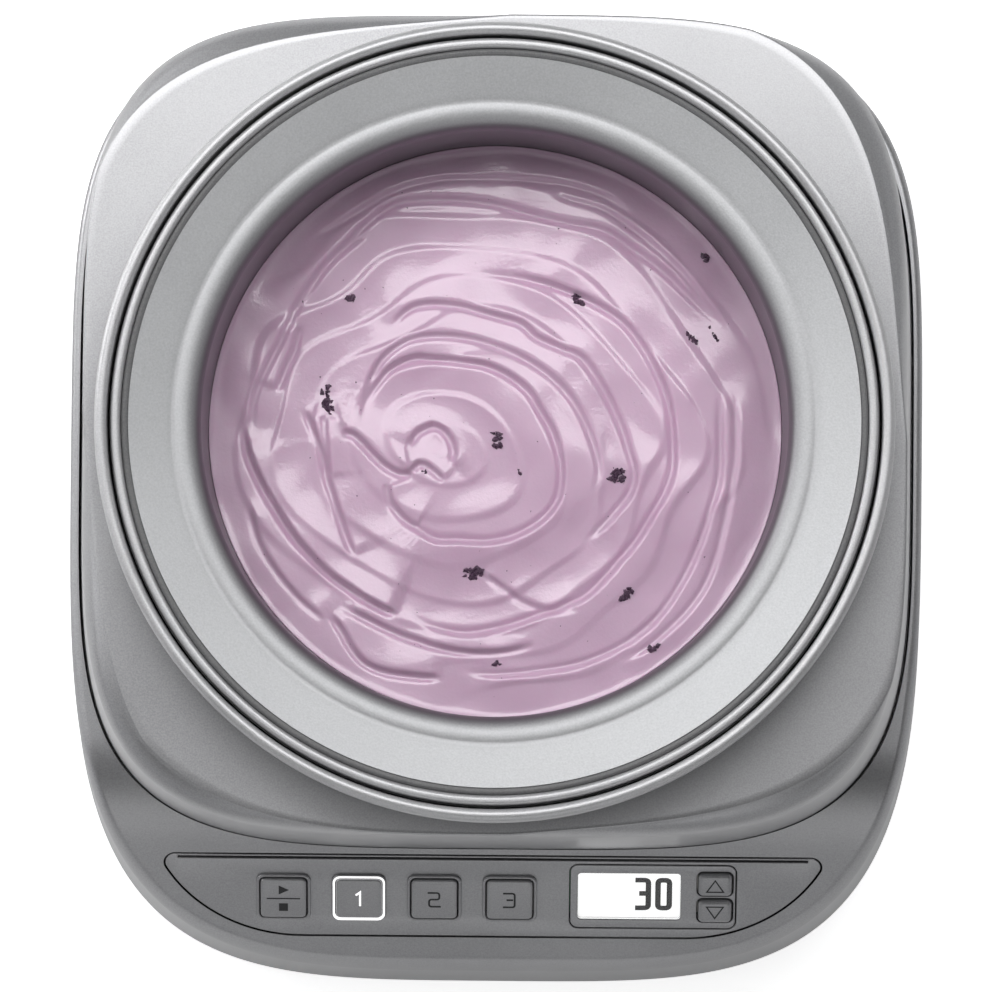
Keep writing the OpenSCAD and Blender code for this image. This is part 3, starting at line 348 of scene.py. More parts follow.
def column_shell():
    """Upper housing: for each direction a closed profile up the column wall, over the crown arc to the deck's
    edge, across the deck to the bowl's hole and back down inside the wall."""
    turns = 720
    a = np.linspace(0, 2 * np.pi, turns, endpoint=False)
    shoulder, edge = column_r(a, SHOULDER_Z), deck_r(a)
    rise = DECK_Z - 0.3 - SHOULDER_Z
    columns = [(column_r(a, z), z) for z in np.linspace(SEAT_Z + 0.05, SHOULDER_Z, 22)]
    for f in np.radians(np.linspace(0, 60, 15)[1:]):
        columns.append((mix(shoulder, edge, (1 - math.cos(f)) / 0.5),
                        SHOULDER_Z + rise * math.sin(f) / math.sin(math.radians(60))))
    columns += [(edge - 0.15, DECK_Z - 0.1), (edge - 0.4, DECK_Z)]
    columns += [(mix(edge - 0.4, 90.0, t), DECK_Z) for t in np.linspace(0, 1, 10)[1:]]
    columns += [(90.0 + 0 * a, DECK_Z - 2.5), (shoulder - 4.5, DECK_Z - 2.5), (shoulder - 2.5, DECK_Z - 5.5)]
    columns += [(column_r(a, SEAT_Z) - 2.5, SEAT_Z + 0.05)]
    return piece("column_and_deck", lofted(a, columns), grid_faces(turns, len(columns)), silver_paint, "base",
                 ["upper_housing"])


def panel_outline(d, steps=40):
    """Plate outline: straight on top at v = -d, two large bows of radius 37.5 - d below and small round
    ends."""
    bow, small, cy = 37.5 - d, max(0.3, 2.5 - d), 37.5 - 23.3
    reach, drop = bow - small, cy + d + small
    run = math.sqrt(reach * reach - drop * drop)
    tilt = math.degrees(math.atan2(drop, run))
    low = arc(46.8, cy, bow, -90, -tilt, steps)
    end = arc(46.8 + run, -d - small, small, -tilt, 90, 16)
    right = np.concatenate([low, end[1:]])
    left = (right * (-1, 1))[::-1]
    return np.concatenate([right, left])


def on_plan(uv):
    """Plan position of a point on the panel's plane, given across and up the slope."""
    return np.stack([uv[:, 0], PANEL_TOP_Y + (uv[:, 1] + PANEL_SHIFT) * math.cos(PANEL_SLOPE)], 1)


def recess_reach(a):
    """Nearest and furthest radius of the panel's recess in each direction, and its two end directions."""
    plan = on_plan(panel_outline(-0.45, 200))
    # More points along the straight top edge
    closed = np.concatenate([plan, plan[:1]])
    fine = np.concatenate([mix(closed[i], closed[i + 1], np.linspace(0, 1, 60, endpoint=False)[:, None])
                           for i in range(len(plan))])
    angle, radius = np.arctan2(fine[:, 1], fine[:, 0]), np.hypot(fine[:, 0], fine[:, 1])
    first, last = np.argmin(angle), np.argmax(angle)
    around = np.roll(np.arange(len(fine)), -first)
    cut = int(np.where(around == last)[0][0])
    one, two = around[:cut + 1], np.append(around[cut:], around[0])[::-1]
    reach = [np.interp(a, angle[half], radius[half]) for half in (one, two)]
    near, far = np.minimum(*reach), np.maximum(*reach)
    return near, far, angle[first], angle[last]


def foot_directions():
    """Directions round the foot, bunched by a sine at both ends of the panel's recess."""
    _, _, first, last = recess_reach(np.array([0.0]))
    middle, half = (first + last) / 2, (last - first) / 2
    inside = middle + half * np.sin(np.linspace(-np.pi / 2, np.pi / 2, 361))
    around = np.linspace(last, first + 2 * np.pi, 521)[1:-1]
    return np.concatenate([inside, around])


def foot_edges(a):
    """Radius of the foot's edge and of the column's hole, and width, height and turn of the roll between wall
    and top: a quarter round at the sides and behind, a taller arc that ends in a crease in front."""
    edge, hole = foot_r(a, 55.0), column_r(a, SEAT_Z) + 0.2
    front, room = np.maximum(0, -np.sin(a)) ** 2, 0.8 * (edge - hole)
    wide, tall = np.minimum(2.4 + 0.6 * front, room), np.minimum(2.4 + 3.6 * front, room)
    return edge, hole, wide, tall, np.radians(90 - 35 * front)


def foot_shell():
    """Lower housing: for each direction a closed profile up the skirt, over the rolled edge, along the top
    with the panel's recess let into it, down to the column's seat and back under the wall."""
    a = foot_directions()
    sin = np.sin(a)
    edge, hole, wide, tall, turn = foot_edges(a)
    near, far, first, last = recess_reach(a)
    wrapped = (a + np.pi) % (2 * np.pi) - np.pi
    within = (wrapped > first + 1e-9) & (wrapped < last - 1e-9)
    at_end = recess_reach(np.array([first + 1e-6]))[0][0]
    end_edge, end_hole, end_wide, _, _ = [q[0] for q in foot_edges(np.array([first]))]
    share = (at_end - end_hole) / (end_edge - end_wide - end_hole)
    split = hole + share * (edge - wide - hole)
    near, far = np.where(within, near, split), np.where(within, far, split)
    depth = np.where(within, 11.0, 0.0)
    top = lambda r: foot_top(r * sin)
    base = SEAT_Z - 2.5
    columns = [(foot_r(a, SKIRT_Z) - 1.2, SKIRT_Z), (foot_r(a, SKIRT_Z) - 0.4, SKIRT_Z + 0.4)]
    wall_top = top(edge) - tall
    columns += [(mix(foot_r(a, SKIRT_Z + 1.5), edge, t), mix(SKIRT_Z + 1.5, wall_top, t))
                for t in np.linspace(0, 1, 14)]
    for share in np.linspace(0, 1, 13)[1:]:
        f = turn * share
        r = edge - wide * (1 - np.cos(f)) / (1 - np.cos(turn))
        columns.append((r, top(r) - tall * (1 - np.sin(f) / np.sin(turn))))
    columns += [(mix(edge - wide, far, t), top(mix(edge - wide, far, t))) for t in np.linspace(0, 1, 8)[1:]]
    recess = range(len(columns) - 1, len(columns) + 2)
    columns += [(far, top(far) - depth), (near, top(near) - depth)]
    columns += [(mix(near, hole, t), top(mix(near, hole, t))) for t in np.linspace(0, 1, 8)]
    columns += [(hole, SEAT_Z), (hole - 4.2, SEAT_Z), (hole - 4.2, base), (hole - 1, base - 14)]
    columns += [(edge - 3.2, base - 18), (foot_r(a, SKIRT_Z) - 3.7, SKIRT_Z)]
    faces = grid_faces(len(a), len(columns))
    # The recess walls take the near-black finish: painted shade for the gap round the panel plate.
    dark = np.isin(faces[:, 0] % len(columns), recess)
    return piece("foot_shell", lofted(a, columns), faces, [silver_paint, painted_gap_shade], "base", ["lower_housing"],
                 which=dark.astype(int))


column_shell()
foot_shell()

# ---- collar, rim ring, seal and liner ----

COLLAR_IN, COLLAR_OUT = 89.8, 92.8
middle, half = (COLLAR_OUT + COLLAR_IN) / 2, (COLLAR_OUT - COLLAR_IN) / 2
collar_profile = [[COLLAR_IN, 187.02], [92.2, 187.02], [92.2, 190.6], [COLLAR_OUT, 191.6], [COLLAR_OUT, 203.2]]
ring("collar", np.concatenate([collar_profile, arc(middle, RIM_Z - half, half, 0, 180, 20)]), rim_paint,
     "base", ["deck_collar"])
ring("rim_ring", np.concatenate([[[86.7, 200.92], [89, 200.92]], arc(88.1, 203.4, 0.9, 0, 90, 8),
                                 [[87.6, 204.3], [87.2, 204.2], [86.7, 203.6]]]), rim_paint,
     "bowl", ["bowl_rim_ring"])
ring("seal", [[84.95, 200.92], [86.65, 200.92], [86.65, 202.8], [86.4, 203.3], [85.8, 203.5], [84.95, 203.0]],
     seal_rubber, "bowl", ["bowl_seal"])


def between(start, end, count):
    """Count points spread evenly on the line from start to end, both ends left out."""
    return mix(np.array(start, float), np.array(end, float), np.linspace(0, 1, count + 2)[1:-1, None])


def liner_face(t):
    """Inner face of the liner at depth t: funnel, rounded lip, cup wall, rounded corner and floor, as (r,
    z)."""
    edge = [84.9, 203.3 - t]
    lip = arc(73.2, 194.4, 5 - t, 75, 180, 20)
    corner = arc(55.4, 72.0, 10 + t, 0, -90, 12)
    return np.concatenate([[edge], between(edge, lip[0], 10), lip, between(lip[-1], corner[0], 14), corner,
                           [[28.0, 62 - t], [0.0, 62 - t]]])


def closed_bowl(name, inner, outer, finish, body, replaced, turns=480):
    """Two (r, z) profiles that end on the axis, turned round it: the points at r = 0 weld to one pole each."""
    profile = np.concatenate([inner, outer[::-1]])
    faces = grid_faces(turns, len(profile))
    pole = len(inner) - 1
    faces = faces[faces[:, 0] % len(profile) != pole]
    return piece(name, turned(profile, turns), faces, finish, body, replaced)


closed_bowl("liner", liner_face(0), liner_face(LINER_THICK), liner_metal, "bowl", ["bowl_liner"])

# ---- control panel ----


def on_panel(points):
    """Carries points (u, v, w) of the panel, across, up the slope and outwards, to the machine's place."""
    u, v, w = points[:, 0], points[:, 1] + PANEL_SHIFT, points[:, 2]
    c, s = math.cos(PANEL_SLOPE), math.sin(PANEL_SLOPE)
    return np.stack([u, PANEL_TOP_Y + v * c - w * s, PANEL_TOP_Z + v * s + w * c], 1)


def rounded(size, radius, at=(0, 0), steps=10):
    """Returns loop(d): the outline of a rounded rectangle drawn in by d, corner arcs included."""
    def loop(d):
        r = max(radius - d, 0.05)
        x, y = size[0] / 2 - d - r, size[1] / 2 - d - r
        corners = [arc(at[0] + sx * x, at[1] + sy * y, r, s, s + 90, steps)
                   for sx, sy, s in ((1, 1, 0), (-1, 1, 90), (-1, -1, 180), (1, -1, 270))]
        return np.concatenate(corners)
    return loop


def inside(points, loop):
    """Even-odd test of points against a closed loop."""
    x, y = points[:, 0][:, None], points[:, 1][:, None]
    a, b = loop, np.roll(loop, -1, 0)
    cross = (a[:, 1] > y) != (b[:, 1] > y)
    with np.errstate(divide="ignore", invalid="ignore"):
        at = a[:, 0] + (y - a[:, 1]) * (b[:, 0] - a[:, 0]) / (b[:, 1] - a[:, 1])
    return (cross & (x < at)).sum(1) % 2 == 1


def filled(loops):
    """Triangles that fill the first loop and leave the others open, as indices into the loops' joined
    points."""
    points = np.concatenate(loops)
    edges, start = [], 0
    for loop in loops:
        n = len(loop)
        edges += [(start + i, start + (i + 1) % n) for i in range(n)]
        start += n
    _, _, faces, origin, _, _ = delaunay_2d_cdt([Vector(p) for p in points], edges, [], 1, 1e-7)
    first = np.array([o[0] if o else -1 for o in origin])
    tri = first[np.array([f for f in faces])]
    assert tri.min() >= 0, "the loops cross"
    centre = points[tri].mean(1)
    keep = inside(centre, loops[0])
    for hole in loops[1:]:
        keep &= ~inside(centre, hole)
    tri = tri[keep]
    p = points[tri]
    one, two = p[:, 1] - p[:, 0], p[:, 2] - p[:, 0]
    area = one[:, 0] * two[:, 1] - one[:, 1] * two[:, 0]
    tri[area < 0] = tri[area < 0][:, ::-1]
    return tri


def rolled_plate(name, outline, holes, low, high, roll, finish, body, replaced=(),
                 hole_roll=None, steps=6):
    """A plate between heights low and high. Each loop rises as a wall and rolls over a quarter round of
    radius roll, inwards on the outline and outwards on the holes, and the flat between the rolled loops is
    filled."""
    hole_roll = roll if hole_roll is None else hole_roll
    rings_of, points, faces, count = [], [], [], 0
    for i, loop in enumerate([outline, *holes]):
        sign, r = (1, roll) if i == 0 else (-1, hole_roll)
        rows = [(0.0, low), (0.0, high - r)]
        turns = np.radians(np.linspace(0, 90, steps + 1)[1:])
        rows += [(r * (1 - math.cos(f)), high - r * (1 - math.sin(f))) for f in turns]
        flat = [loop(sign * d) for d, _ in rows]
        n = len(flat[0])
        stack = np.concatenate([np.column_stack([p, np.full(n, z)]) for p, (_, z) in zip(flat, rows)])
        quads = grid_faces(len(rows), n, wrap_rows=False) + count
        if i:
            quads = quads[:, ::-1]
        faces += quads.tolist()
        rings_of.append((count, count + n * (len(rows) - 1), n, flat[0], flat[-1]))
        points.append(stack)
        count += len(stack)
    for end in (0, 1):
        loops = [r[3 + end] for r in rings_of]
        tri = filled(loops)
        index = np.concatenate([np.arange(r[end], r[end] + r[2]) for r in rings_of])
        tri = index[tri]
        faces += (tri if end else tri[:, ::-1]).tolist()
    points = on_panel(np.concatenate(points))
    return piece(name, points, faces, finish, body, replaced, 35)


KEY_V, FIRST_KEY_U, KEY_PITCH = -12.1, -51.2, 18.45
KEY_PLACES = [(FIRST_KEY_U + i * KEY_PITCH, KEY_V) for i in range(4)]
DISPLAY, BEZEL = (33.4, -11.4), (39.2, -11.4)
ARROWS = [(54.4, -7.6), (54.4, -15.25)]
CAP_LOW, KEY_TOP, ARROW_TOP, PLATE_LOW = -3.7, 1.1, 1.0, -2.0

panel_holes = [rounded((12.6, 12.6), 1.7, p) for p in KEY_PLACES]
panel_holes += [rounded((40.9, 18.7), 2.3, BEZEL), rounded((154.0, 0.6), 0.28, (0, -0.87))]
rolled_plate("panel_plate", panel_outline, panel_holes, PLATE_LOW, 0.0, 0.25, silver_paint, "base",
             ["control_panel"])
for i, p in enumerate(KEY_PLACES):
    rolled_plate(f"key_frame_{i + 1}", rounded((13.3, 13.3), 2.0, p), [rounded((11.7, 11.7), 1.4, p)],
                 -1.9, 0.7, 0.4, key_paint, "base", hole_roll=0.35)
rolled_plate("display_frame", rounded((40.4, 18.2), 2.0, BEZEL),
             [rounded((25.3, 13.4), 1.0, DISPLAY)] + [rounded((8.9, 7.1), 1.6, p) for p in ARROWS],
             PLATE_LOW, 0.0, 0.25, silver_paint, "base", ["display_bezel"])
KEY_BODIES = ["key_start", "key_mode_1", "key_mode_2", "key_mode_3"]
KEY_NODES = ["start_key", "mode_key_1", "mode_key_2", "mode_key_3"]
for p, b, n in zip(KEY_PLACES, KEY_BODIES, KEY_NODES):
    rolled_plate(n.replace("_key", "") + "_cap", rounded((11.2, 11.2), 1.2, p), [], CAP_LOW, KEY_TOP, 0.5,
                 key_paint, b, [n])
for p, b, n in zip(ARROWS, ["key_up", "key_down"], ["up_key", "down_key"]):
    rolled_plate(n.replace("_key", "") + "_cap", rounded((8.3, 6.5), 1.4, p), [], CAP_LOW, ARROW_TOP, 1.1,
                 key_paint, b, [n])

# ---- marks, display figures and the lit key's border ----


def soft_corners(points, radius, steps=6):
    """An open line whose inner corners are rounded by a quadratic curve that starts radius before each
    corner."""
    p = np.asarray(points, float)
    if not radius:
        return p
    out = [p[0]]
    for before, corner, after in zip(p[:-2], p[1:-1], p[2:]):
        back, on = before - corner, after - corner
        reach = min(radius, 0.49 * np.linalg.norm(back), 0.49 * np.linalg.norm(on))
        start = corner + back / np.linalg.norm(back) * reach
        end = corner + on / np.linalg.norm(on) * reach
        for t in np.linspace(0, 1, steps + 1):
            out.append((1 - t) ** 2 * start + 2 * t * (1 - t) * corner + t * t * end)
    out.append(p[-1])
    return np.array(out)


def offset(points, d, closed=False):
    """The line moved sideways by d, each point along the mitre of its two neighbouring spans."""
    p = np.asarray(points, float)
    if closed:
        before, after = p - np.roll(p, 1, 0), np.roll(p, -1, 0) - p
    else:
        span = np.diff(p, axis=0)
        before, after = np.concatenate([span[:1], span]), np.concatenate([span, span[-1:]])
    before = before / np.linalg.norm(before, axis=1, keepdims=True)
    after = after / np.linalg.norm(after, axis=1, keepdims=True)
    normal = before + after
    normal = np.stack([-normal[:, 1], normal[:, 0]], 1) / np.linalg.norm(normal, axis=1, keepdims=True)
    lean = normal[:, 0] * -before[:, 1] + normal[:, 1] * before[:, 0]
    return p + normal * (d / np.maximum(lean, 0.3))[:, None]


def stroke(points, width, closed=False):
    """Loops of a pen stroke of one width along a line: one loop, or an outer and an inner one if it's
    closed."""
    left, right = offset(points, width / 2, closed), offset(points, -width / 2, closed)
    if not closed:
        return [np.concatenate([left, right[::-1]])]
    return [left, right] if np.ptp(left[:, 0]) > np.ptp(right[:, 0]) else [right, left]


def marks(name, shapes, low, high, finish, body, slot):
    """Flat marks on the panel: each shape's loops stand as low walls, closed above and below by filled
    faces."""
    points, faces, count = [], [], 0
    for loops in shapes:
        flat = np.concatenate(loops)
        n = len(flat)
        points += [np.column_stack([flat, np.full(n, z)]) for z in (low, high)]
        tri = filled(loops) + count
        faces += tri[:, ::-1].tolist() + (tri + n).tolist()
        start = count
        for loop in loops:
            k = np.arange(len(loop))
            m = (k + 1) % len(loop)
            faces += np.stack([start + k, start + m, start + m + n, start + k + n], 1).tolist()
            start += len(loop)
        count += 2 * n
    return piece(name, on_panel(np.concatenate(points)), faces, finish, body, (), 30)


def moved(points, at, size=(1.0, 1.0)):
    return np.asarray(points, float) * size + np.asarray(at, float)


# Pen lines of the plain figures in a box of width 1 and height 1, drawn from its lower left corner
FIGURES = {
    0: [[(0, 0.5), (0, 1), (1, 1), (1, 0), (0, 0), (0, 0.4995)]],
    1: [[(0.2, 0.78), (0.62, 1), (0.62, 0)]],
    2: [[(-0.15, 1), (1, 1), (1, 0.52), (0, 0.52), (0, 0), (1.15, 0)]],
    3: [[(-0.15, 1), (1, 1), (1, 0), (-0.15, 0)], [(0.2, 0.52), (0.85, 0.52)]],
}


def figure(digit, at, size, width, corner):
    """Strokes of one plain figure: its pen lines scaled to size from the lower left corner at, then
    rounded."""
    corner = corner if digit != 1 else 0
    return [stroke(soft_corners(moved(line, at, size), corner), width) for line in FIGURES[digit]]


def triangle(at, half, height, tip):
    """Corners of a triangle round at: a base of 2 * half and a point at tip * height / 2 up or down the
    panel."""
    return moved([(-half, -tip * height / 2), (half, -tip * height / 2), (0, tip * height / 2)], at)


lit_white, _, _, lit = material("lit_white")
lit.inputs["Base Color"].default_value = (0.9, 0.9, 0.9, 1)
lit.inputs["Emission Color"].default_value = (1, 1, 1, 1)
lit.inputs["Emission Strength"].default_value = 1.0

u, v = KEY_PLACES[0]
sign = [(u - 1.15, v + 1.2), (u - 1.15, v + 3.8), (u + 1.35, v + 2.5)]
rule = [(u - 4.1, v - 0.18), (u + 4.1, v - 0.18), (u + 4.1, v + 0.18), (u - 4.1, v + 0.18)]
block = [(u - 1.1, v - 3.6), (u + 1.1, v - 3.6), (u + 1.1, v - 1.4), (u - 1.1, v - 1.4)]
key_ink, arrow_ink = (KEY_TOP - 0.05, 1.13), (ARROW_TOP - 0.05, 1.03)
marks("start_marks", [[np.array(q)] for q in (sign, rule, block)], *key_ink, ink_black, "key_start",
      "key_silver")
for i, ink in ((1, lit_white), (2, ink_black), (3, ink_black)):
    u, v = KEY_PLACES[i]
    marks(f"mode_{i}_mark", figure(i, (u - 1.25, v - 2.0), (2.5, 4.0), 0.48, 0.7), *key_ink, ink,
          KEY_BODIES[i], "key_silver")
for name, place, tip in (("up", ARROWS[0], 1), ("down", ARROWS[1], -1)):
    marks(f"{name}_mark", [stroke(triangle(place, 2.05, 3.3, tip), 0.34, True)], *arrow_ink, ink_black,
          f"key_{name}", "key_silver")
display_size = (2.8, 8.1)
marks("display_figures", figure(3, (35.3, -15.2), display_size, 1.35, 1.0)
      + figure(0, (40.45, -15.2), display_size, 1.35, 1.0), -1.30, -1.24, ink_black, "base", "display_white")
rolled_plate("key_light", rounded((12.75, 12.75), 1.85, KEY_PLACES[1]),
             [rounded((11.7, 11.7), 1.4, KEY_PLACES[1])], 0.2, 0.82, 0.12, lit_white, "base")

# ---- the frozen dessert ----

# Crest lines of the swirl left by the paddle and the spatula: points (x, y), lift, and width of the gentle
# side. A crest falls off gently to the left of its direction of travel and drops into a crevice on its right.
FOLDS = [
    ([(-48, 27), (-42, 38.5), (-36, 45.5), (-30, 51.5), (-24, 54.8), (-16, 55.6), (-8, 55.8), (0, 55.2),
      (8, 53), (16, 50.5), (25, 48.8), (31, 45.8), (40, 40), (47, 33), (54, 25)], 0.86, 5.7),
    ([(12, 58.3), (17, 56), (25, 53.5), (32, 49.6), (40, 43.8), (46, 37.8), (50, 32),
      (54.5, 25.5)], 0.43, 4.8),
    ([(-44, 46.5), (-38, 50), (-32, 54), (-25, 57.5), (-15, 60), (-5, 61), (5, 61), (15, 59.5), (25, 56.5),
      (33, 52)], 0.36, 4.8),
    ([(-5, 38.6), (3, 38.5), (10, 37), (16, 34.8), (24, 31), (30.5, 26.8), (35.8, 20.5), (39.2, 15),
      (41.2, 11), (42.8, 6), (43.3, 0), (42.8, -8), (41, -14), (38.5, -19), (34.8, -26), (30.8, -31),
      (26.5, -36), (22, -40), (17, -42.3), (10, -44.5), (0, -47.5), (-8, -48.8), (-16, -47.5),
      (-21, -45)], 1.08, 9.5),
    ([(-26, 24), (-24, 27.3), (-20, 30), (-15, 30.8), (-8, 30.5), (0, 28.8), (6, 27), (10, 23.5),
      (16, 20.5), (21, 18), (25.5, 12.5), (29, 7), (31.5, 1), (32.8, -4), (33.8, -9), (33, -14), (30, -19),
      (26, -24), (21, -28.5)], 0.86, 6.6),
    ([(-33, 5), (-31, 11), (-28, 17.5), (-22, 22), (-15, 23.3), (-8, 23.3), (-2, 22.3), (5, 19.8),
      (12, 15.5), (18, 10), (22, 4), (24.5, -3), (25.5, -10), (24, -16)], 0.65, 4.9),
    ([(-33, 0), (-31, 8), (-26, 15), (-20, 18), (-14, 17.8), (-8, 17.6), (-2, 17), (4, 14.5), (9, 10.5),
      (12.5, 5), (15, 0), (16.3, -6), (16.5, -12), (15.5, -17), (12, -21.5), (6, -25), (-1, -26.8),
      (-8, -27), (-14, -27), (-20, -23.5), (-26, -18.5)], 1.08, 6.6),
    ([(-21.5, -4), (-19.5, -0.5), (-17, 1.2), (-14, 2), (-11, 0.6), (-9, -2.4), (-8.6, -6),
      (-10.5, -8.6)], 0.86, 3.4),
    ([(-21, -9.5), (-19, -7.2), (-16.5, -7.2), (-14, -8.8), (-11, -11.5)], 0.65, 2.8),
    ([(-36.5, 0.5), (-33.5, 0.8), (-30.5, -1.5), (-28, -4.5), (-25.3, -7.3), (-22.5, -9),
      (-19.5, -9)], 0.94, 5.7),
    ([(-24.5, -12), (-23.5, -16), (-20.5, -20), (-17, -22.3)], 0.58, 3.8),
    ([(-44, 6), (-42, 2), (-40, -4), (-38.8, -10), (-37, -15), (-34.5, -21), (-32.5, -26),
      (-31, -29.5)], 0.65, 5.7),
    ([(-38.5, 4), (-38.5, -4), (-38, -11)], 0.43, 3.8),
    ([(-58, 2), (-57, -6), (-54, -13), (-50, -19), (-46, -24.3), (-42, -28.5), (-38, -32.5), (-34, -35.5),
      (-29, -39), (-25, -41.3), (-22, -42.8)], 1.37, 9.5),
    ([(-36, -39.5), (-30, -42.8), (-26, -45), (-20.5, -47.6), (-13, -50), (-6, -50.8), (2, -50.3),
      (10, -48.6)], 0.72, 4.2),
    ([(-38, -42), (-35, -46), (-32.3, -50.3), (-29, -53.7), (-24, -55.8), (-17, -57),
      (-11, -57)], 0.79, 5.7),
    ([(-52.5, 9), (-51, 14), (-49, 19.5), (-48, 25)], 0.65, 3.8),
    ([(-58.5, -2), (-58, 6), (-55.5, 14), (-52, 22), (-48, 30), (-42.5, 38), (-36, 44.5),
      (-30, 48.5)], 0.50, 5.7),
    ([(-57, -17), (-54, -26), (-50, -33), (-45, -39), (-39, -43.8)], 0.43, 4.8),
    ([(54.3, 12), (54.6, 4), (54.3, -4), (53.5, -12), (51.8, -19), (50, -26), (46.5, -33.5), (41, -41.5),
      (35, -48), (28, -53), (20, -56.3), (10, -57.6), (0, -58.2), (-8, -58)], 0.65, 4.9),
    ([(57.5, 10), (58.2, 3), (57.8, -5), (56.6, -13), (55.6, -21), (54, -29), (51, -36), (46.5, -42),
      (41.5, -47), (36, -52), (30, -55.5)], 0.50, 4.2),
    ([(-2, -32), (3, -35.5), (8, -39), (14, -41), (20, -40.3)], 0.43, 4.8),
]
# Torn berries: middle (x, y), half length, half width, turn in degrees, number of bits
BERRIES = [(-34.5, 31.0, 1.1, 0.9, 30, 6), (19.2, 31.0, 2.0, 1.0, 115, 12), (-39.6, 7.0, 3.6, 1.4, 95, 16),
           (0.4, -2.0, 2.2, 1.5, 90, 10), (28.7, -10.0, 2.0, 1.7, 20, 20), (-4.9, -33.4, 2.3, 1.4, 10, 18),
           (31.0, -38.2, 2.0, 0.8, 50, 12), (0.8, -54.8, 0.9, 0.5, 10, 5), (49.0, 41.3, 0.9, 0.7, 0, 4),
           (37.6, -50.6, 1.2, 0.7, 20, 7), (46.0, 22.5, 2.0, 0.6, 130, 5), (50.8, 24.0, 3.2, 0.2, 122, 9),
           (5.6, -9.2, 1.0, 0.2, 115, 4), (-16.5, -9.6, 0.6, 0.3, 0, 2)]


def smooth_line(points, count):
    """Points of a Catmull-Rom curve through the given ones, evenly spread over its spans."""
    p = np.asarray(points, float)
    p = np.concatenate([[2 * p[0] - p[1]], p, [2 * p[-1] - p[-2]]])
    t = np.linspace(0, len(p) - 3 - 1e-9, count)
    i, f = t.astype(int), (t % 1)[:, None]
    a, b, c, d = p[i], p[i + 1], p[i + 2], p[i + 3]
    bend, twist = 2 * a - 5 * b + 4 * c - d, 3 * b - a - 3 * c + d
    return 0.5 * (2 * b + (c - a) * f + bend * f ** 2 + twist * f ** 3)


# Half width of a fold's steep side, distance, half width and depth of the crevice beyond it, and the folds'
# scale
STEEP_WIDTH, CREVICE_AT, CREVICE_WIDTH, CREVICE_DEPTH, FOLD_SCALE = 0.9, 1.5, 0.8, 0.8, 1.15


def fold_height(x, y, points, lift, width):
    """Height of one fold at distance q from its crest line: lift * exp(-(q / width)^1.4) on the gentle side.
    On the other it's lift * exp(-(q / STEEP_WIDTH)^2) less a crevice, a bell round CREVICE_AT that a small
    exp(-q) brings back to the crest's height at q = 0. Both are faded at the line's ends."""
    line = smooth_line(points, 12 * len(points))
    way = np.gradient(line, axis=0)
    way /= np.linalg.norm(way, axis=1, keepdims=True)
    best = np.full(x.shape, 1e9)
    side, along = np.zeros_like(x), np.zeros_like(x)
    for k in range(len(line)):
        dx, dy = x - line[k, 0], y - line[k, 1]
        d = dx * dx + dy * dy
        closer = d < best
        best = np.where(closer, d, best)
        side = np.where(closer, way[k, 0] * dy - way[k, 1] * dx, side)
        along = np.where(closer, k / (len(line) - 1), along)
    q = np.sqrt(best)
    gentle = np.exp(-(q / width) ** 1.4)
    crevice = CREVICE_DEPTH * np.exp(-((q - CREVICE_AT) / CREVICE_WIDTH) ** 2)
    level = CREVICE_DEPTH * np.exp(-(CREVICE_AT / CREVICE_WIDTH) ** 2) * np.exp(-q)
    steep = np.exp(-(q / STEEP_WIDTH) ** 2) - crevice + level
    fade = np.clip(np.minimum(along, 1 - along) / 0.12, 0, 1)
    return lift * fade * fade * (3 - 2 * fade) * np.where(side > 0, gentle, steep)


# Middle of the swirl, spacing and height of its terraces, and the share of each that rises
SWIRL_X, SWIRL_Y, TERRACE_STEP, TERRACE_LIFT, TERRACE_RISE = -10, -4, 8.5, 0.55, 0.76


def terraces(x, y):
    """Low spiral terraces round the swirl's middle, TERRACE_STEP apart: each rises over TERRACE_RISE of its
    width and drops back over the rest. Sines wander their edges and let them come and go, and they fade at
    middle and cup."""
    dx, dy = x - SWIRL_X, y - SWIRL_Y
    reach = np.hypot(dx / 1.12, dy)
    phase = reach / TERRACE_STEP + np.arctan2(dy, dx) / (2 * np.pi)
    phase = phase + 0.32 * np.sin(x / 13 + 1) * np.cos(y / 10) + 0.16 * np.sin(y / 5.5 + x / 9)
    s = phase % 1
    drop = 0.5 + 0.5 * np.cos(np.pi * (s - TERRACE_RISE) / (1 - TERRACE_RISE))
    step = np.where(s < TERRACE_RISE, (s / TERRACE_RISE) ** 1.3, drop)
    come = 0.5 + 0.5 * np.sin(x / 9 + 2 * np.sin(y / 14) + 1.2) * np.sin(y / 8 + np.sin(x / 12))
    middle, cup = np.clip(reach / 14, 0, 1), np.clip((66 - np.hypot(x, y)) / 6, 0, 1)
    return TERRACE_LIFT * (0.25 + 0.75 * come) * step * middle * cup


CUP_RADIUS, TOP_RADIUS = 67.4, 67.38


def dessert_height(x, y):
    """Height of the dessert: a low dome, the folds, the terraces, slow waves that tilt the skin a few
    degrees, and a small rise where it meets the cup."""
    r = np.hypot(x, y)
    z = 0.9 * (1 - (r / 67) ** 2)
    z = z + 0.40 * np.sin(x / 7.3 + 1.3 * np.sin(y / 11)) * np.cos(y / 8.1 + 0.9 * np.sin(x / 9.7))
    z = z + 0.12 * np.sin(x / 2.9 + 1.1 * np.sin(y / 4.3)) * np.sin(y / 3.3 + np.sin(x / 5.1))
    lean_x, lean_y = x + 0.4 * np.sin(y / 5.3 + 0.5), y + 0.4 * np.sin(x / 6.1 + 1.1)
    for points, lift, width in FOLDS:
        z = z + FOLD_SCALE * fold_height(lean_x, lean_y, points, lift, width)
    z = z + terraces(x, y)
    z = z + 0.7 * np.exp(-((CUP_RADIUS - r) / 1.1))
    return FILL_Z + z


